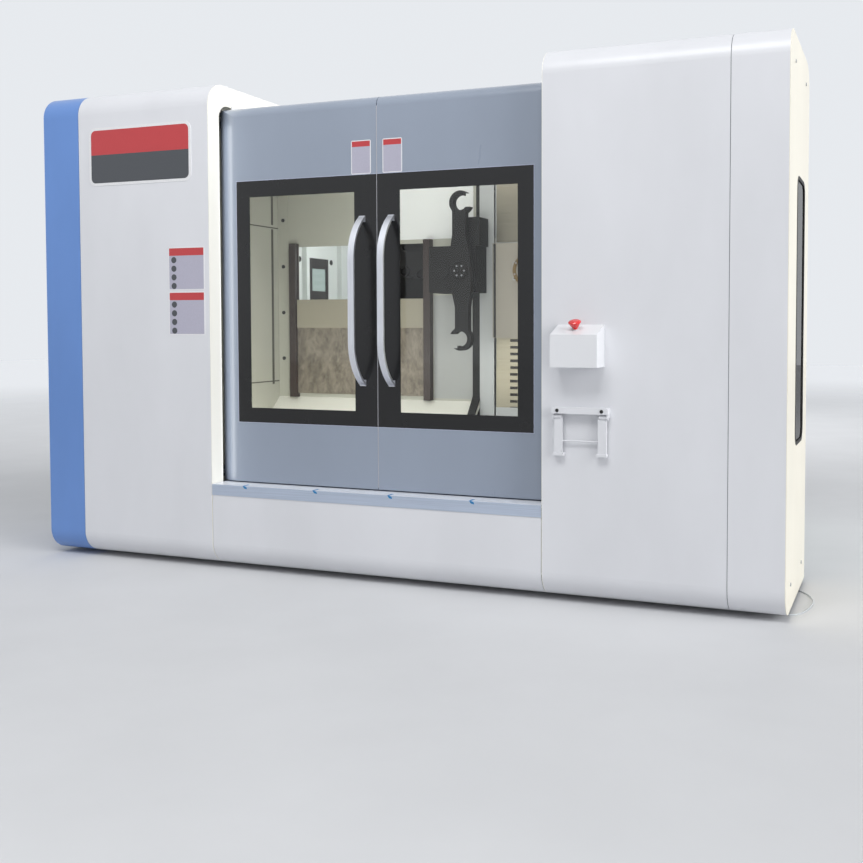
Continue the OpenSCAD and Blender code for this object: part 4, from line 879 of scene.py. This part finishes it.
def guard_joints(shape):
    """Flat joint lines between the guard's sheets: back, left, right and top."""
    half, proud = 2 * mm, 0.4 * mm
    cross_height, upright_y = 1.35, 0.20
    for x, low in zip(joint_xs, (0.78, 2.13)):
        add_block(shape, (x - half, guard_back, low), (x + half, guard_back + proud, guard_rim))
    add_block(shape, (guard_left + 0.02, guard_back, cross_height - half),
              (joint_xs[0] - half, guard_back + proud, cross_height + half))
    for x, sign in ((guard_left, -1), (guard_right, 1)):
        near, far = sorted((x, x + sign * proud))
        add_block(shape, (near, upright_y - half, 0.10), (far, upright_y + half, guard_rim))
        add_block(shape, (near, side_start, guard_rim - half), (far, guard_back - 0.01, guard_rim + half))
    for x in joint_xs:
        add_block(shape, (x - half, side_start, guard_top), (x + half, guard_back - 0.02, guard_top + proud))


build("guard_joints", "machine", [joint_grey], guard_joints, flat)
sheet_screw = {"radius": 0.007, "height": 0.0035}
edge_inset = 0.022
side_ys = steps_between(side_start + 0.05, guard_back - 0.03, 7)
side_zs = [0.12, guard_top - 0.055]
add_screws("guard_screws_back", "machine", "bare_steel",
           grid([guard_left + edge_inset, -0.645, -0.595], [guard_back],
                steps_between(0.82, guard_top - 0.08, 6))
           + grid(steps_between(-0.35, guard_right - edge_inset, 7), [guard_back], [guard_top - 0.045])
           + grid([guard_right - edge_inset], [guard_back], steps_between(0.15, guard_top - 0.25, 8)),
           (0, 1, 0), **sheet_screw)
add_screws("guard_screws_left", "machine", "bare_steel",
           grid([guard_left], side_ys, side_zs) + grid([guard_left], [0.412, 0.738], [1.162, 1.52, 1.878]),
           (-1, 0, 0), **sheet_screw)
add_screws("guard_screws_right", "machine", "bare_steel",
           grid([guard_right], side_ys, side_zs)
           + grid([guard_right], [0.175, 0.225], steps_between(0.4, guard_top - 0.35, 5)),
           (1, 0, 0), **sheet_screw)
add_screws("guard_screws_top", "machine", "bare_steel",
           grid([-0.645, -0.595, 0.495, 0.545],
                steps_between(side_start + 0.08, guard_back - 0.06, 5), [guard_top]),
           (0, 0, 1), **sheet_screw)


# Ribbed strip beside the head, drawn as flat dark bars of painted shade for the ribs' grooves, and the sheet
# above it

rib_size = Vector((0.052, 0.1 * mm, 0.018))
rib_x = 0.262
rib_step = 0.044
first_rib = 0.836
ribs_b, ribs_a = 6, 5
# Painted shade: flat dark bars 0.1 mm thick stand in for the shaded grooves between the ribs.
for rib_name, rib_body, sheet_face, first_height, rib_count in (
        ("way_cover_rib_shade_b", "lower_cover_b", lower_b[0].y, first_rib, ribs_b),
        ("way_cover_rib_shade_a", "lower_cover_a", lower_a[0].y, first_rib + ribs_b * rib_step, ribs_a)):
    add_bar_row(rib_name, rib_body, frame_brown, rib_count,
                (rib_x, sheet_face - rib_size.y / 2, first_height), (0, 0, rib_step), tuple(rib_size))
panel_face = panels[0].y
build("upper_way_sheet", "machine", [worn_steel],
      lambda shape: add_block(shape, (0.143, panel_face - 0.5 * mm, 1.912), (0.701, panel_face, 2.55)), flat)


# Head, nose and changer arm

brass = brushed_metal("brass nose ring", tone(116, 97, 66), (90, 90, 90), 0.38)
head_face = cover_front + 1.4
head_low, head_high = 1.293, 1.902
nose_x, nose_z = (spindle[0].x + spindle[1].x) / 2, (spindle[0].z + spindle[1].z) / 2
hub_x, hub_z = (arm[0].x + arm[1].x) / 2, (arm[0].z + arm[1].z) / 2


def round_places(centre_x, centre_z, radius, count, first=0):
    """X and Z of points at even steps round a centre, from a first angle in degrees."""
    angles = [math.radians(first + 360 / count * i) for i in range(count)]
    return [(centre_x + radius * math.cos(angle), centre_z + radius * math.sin(angle)) for angle in angles]


def head_lip(shape):
    """Rubber lip down the head's left edge, in line with the joint of the way covers."""
    left, right, gap = 0.150, 0.163, 0.004
    add_block(shape, (left, head_face - 0.006, head_low + gap), (right, head_face, head_high - gap), 0, 0.002)


def nose_ring(shape):
    outer_radius, inner_radius, steps = 0.1035, 0.082, 72
    add_ring(shape, round_places(nose_x, nose_z, outer_radius, steps),
             round_places(nose_x, nose_z, inner_radius, steps), on_front(head[0].y - 1 * mm), 5 * mm)


def coolant_nozzles(shape):
    """Ring of nozzles round the nose, each with its nut, their tips turned a little inward."""
    root, nut_height, reach, lean = head_face - 0.03, 0.012, 0.034, 0.006
    nut_radius, root_radius, tip_radius = 0.011, 0.006, 0.003
    for x, z in round_places(nose_x, nose_z, 0.126, 8, 22.5):
        add_rod(shape, (x, root, z), (x, root - nut_height, z), nut_radius, 0, 12)
        tip = Vector((nose_x - x, 0, nose_z - z)).normalized() * lean
        add_rod(shape, (x, root - 0.011, z), (x + tip.x, root - reach, z + tip.z),
                root_radius, 1, 16, tip_radius)


build("head_edge_lip", "head", [seal_rubber], head_lip)
build("spindle_nose_ring", "head", [brass], nose_ring)
add_screws("nose_ring_screws", "head", "bare_steel",
           [(x, head[0].y - 6 * mm, z) for x, z in round_places(nose_x, nose_z, 0.0925, 8, 15)],
           (0, -1, 0), radius=0.006, height=0.004)
build("coolant_nozzles", "head", [ground_steel, brass], coolant_nozzles)
add_screws("changer_hub_screws", "arm", "bare_steel",
           [(x, arm[0].y, z) for x, z in round_places(hub_x, hub_z, 0.034, 6)],
           (0, -1, 0), radius=0.0055, height=0.0035)


# Protective film and blue tapes on the sill

film_blue = moulded("blue tape", tone(38, 122, 178), 0.35)
film_white = moulded("white protective film", tone(238, 241, 248), 0.3, 0.3, 30.0, 0.3 * mm)
film_depth = 0.4 * mm
sill_top = sill[0].z + 0.06


def film_marks(shape):
    """Slanted tapes that hang over the sill's front edge."""
    for x in (-0.764, -0.317, 0.136, 0.602):
        add_sheet(shape, [(x - 0.013, sill_top), (x - 0.004, sill_top - 0.013), (x + 0.014, sill_top - 0.017),
                          (x + 0.012, sill_top - 0.006), (x - 0.002, sill_top)],
                  on_front(sill[0].y), film_depth)
        add_block(shape, (x - 0.016, sill[0].y - film_depth, sill_top + film_depth),
                  (x - 0.002, sill[0].y + 0.05, sill_top + 2 * film_depth))


def film_sheet(shape):
    """Film that covers the sill's top before the doors."""
    add_block(shape, (sill[0].x + 0.004, sill[0].y + 0.001, sill_top),
              (sill[1].x - 0.004, door_face - 0.006, sill_top + film_depth))


build("sill_film_marks", "machine", [film_blue], film_marks, flat)
build("sill_film", "machine", [film_white], film_sheet, flat)


# Work light under the roof, and the lamps

def work_light(shape):
    """Long housing with a diffuser in its underside."""
    half_length, depth, drop = 0.75, 0.07, 0.045
    y, z = splash[0].y + 0.02, roof[0].z
    add_block(shape, (-half_length, y, z - drop), (half_length, y + depth, z), 0, 0.004)
    add_block(shape, (0.02 - half_length, y + 0.008, z - 0.052),
              (half_length - 0.02, y + 0.062, z - 0.044), 1, 0.002)


build("front_work_light", "machine", [black_coat, light_cover], work_light)


def lamp(name, place, target, size, power, colour=(1, 1, 1), mirrored=True):
    """A rectangular lamp, its size and place in metres; mirrored says whether reflections show it."""
    data = bpy.data.lights.new(name, "AREA")
    data.shape = "RECTANGLE"
    data.size, data.size_y = size
    data.energy = power
    data.color = colour
    light = bpy.data.objects.new(name, data)
    light.visible_camera = light.visible_transmission = False
    light.visible_glossy = mirrored
    light.location = place
    light.rotation_euler = (Vector(target) - Vector(place)).to_track_quat("-Z", "Y").to_euler()
    bpy.context.collection.objects.link(light)


def side_sun():
    """Even soft light from the right, which the inner faces of the door bay show."""
    data = bpy.data.lights.new("side_sun", "SUN")
    data.energy = 2.95
    data.angle = math.radians(50)
    light = bpy.data.objects.new("side_sun", data)
    light.rotation_euler = Vector((-0.95, 0.20, -0.24)).to_track_quat("-Z", "Y").to_euler()
    bpy.context.collection.objects.link(light)


warm, half_warm = (1, 0.985, 0.95), (1, 0.99, 0.95)
wall_back = rear_wall[1].y
lamp("inside_front", (0, cover_front + 0.33, 1.35), (0, cover_front + 1.5, 1.45), (2.4, 1.1), 9, warm)
lamp("inside_top", (0.1, cover_front + 0.75, 2.55), (0.2, cover_front + 1.4, 1.2), (1.8, 0.3), 7, warm)
lamp("inside_guard", (-0.4, wall_back + 0.35, guard_top - 0.1), (-0.6, wall_back + 0.5, 1.6), (0.8, 0.3), 26)
lamp("key", (1.2, -6.8, 8.2), (0.2, -1.4, 1.2), (5, 3), 385)
lamp("inside_low", (0.1, cover_front + 0.5, 1.05), (0.25, cover_front + 1.35, 0.55), (1.9, 0.25), 3,
     half_warm)
lamp("inside_left", (-0.9, cover_front + 0.6, 1.0), (-1.6, cover_front + 1.2, 0.75), (0.5, 0.4), 3,
     half_warm)
lamp("bay_left", (bay[0].x + 0.006, door_face - 0.03, 1.5), (door_left[0].x + 0.09, door_face + 0.03, 1.5),
     (0.05, 2.0), 0.6)
lamp("back", (-2, 8, 6), (0, 1, 1.3), (6, 4), 300, mirrored=False)
side_sun()


# Surroundings

sky_tone = (0.93, 0.96, 1.0, 1)


def make_world():
    """Even surroundings, brighter where the camera, a pane or a reflection sees them than as a light."""
    world = bpy.data.worlds.new("studio")
    bpy.context.scene.world = world
    world.use_nodes = True
    tree = world.node_tree
    path = tree.nodes.new("ShaderNodeLightPath").outputs
    straight = combined(tree, "MAXIMUM", path["Is Camera Ray"], path["Is Transmission Ray"])
    seen = combined(tree, "MAXIMUM", straight, path["Is Glossy Ray"])
    background = tree.nodes["Background"]
    tree.links.new(mapped(tree, seen, To_Min=0.34, To_Max=0.86), background.inputs["Strength"])
    background.inputs["Color"].default_value = sky_tone


def fade_to_background(material):
    """Lifts the far floor, as the camera sees it, to the tone of the surroundings."""
    tree = material.node_tree
    place = tree.nodes.new("ShaderNodeTexCoord")
    away = tree.nodes.new("ShaderNodeVectorMath")
    away.operation = "LENGTH"
    tree.links.new(place.outputs["Object"], away.inputs[0])
    lift = mapped(tree, away.outputs["Value"], From_Min=3.5, From_Max=20.0, To_Min=0.0, To_Max=0.42)
    path = tree.nodes.new("ShaderNodeLightPath")
    seen = combined(tree, "MULTIPLY", lift, path.outputs["Is Camera Ray"])
    surface = surface_of(material)
    surface.inputs["Emission Color"].default_value = sky_tone
    tree.links.new(seen, surface.inputs["Emission Strength"])


def make_floor():
    reach = 30
    mesh = bpy.data.meshes.new("floor")
    mesh.from_pydata([(x, y, 0) for x, y in rectangle(-reach, -reach, reach, reach)], [], [(0, 1, 2, 3)])
    material = powder_coat("pale studio floor", tone(212, 213, 215), 0.7, streak=0.02, coat=0.0)
    surface_of(material).inputs["Specular IOR Level"].default_value = 0.2
    mesh.materials.append(material)
    fade_to_background(material)
    floor = bpy.data.objects.new("floor", mesh)
    bpy.context.collection.objects.link(floor)


make_world()
make_floor()
bpy.context.scene.view_settings.view_transform = "Standard"
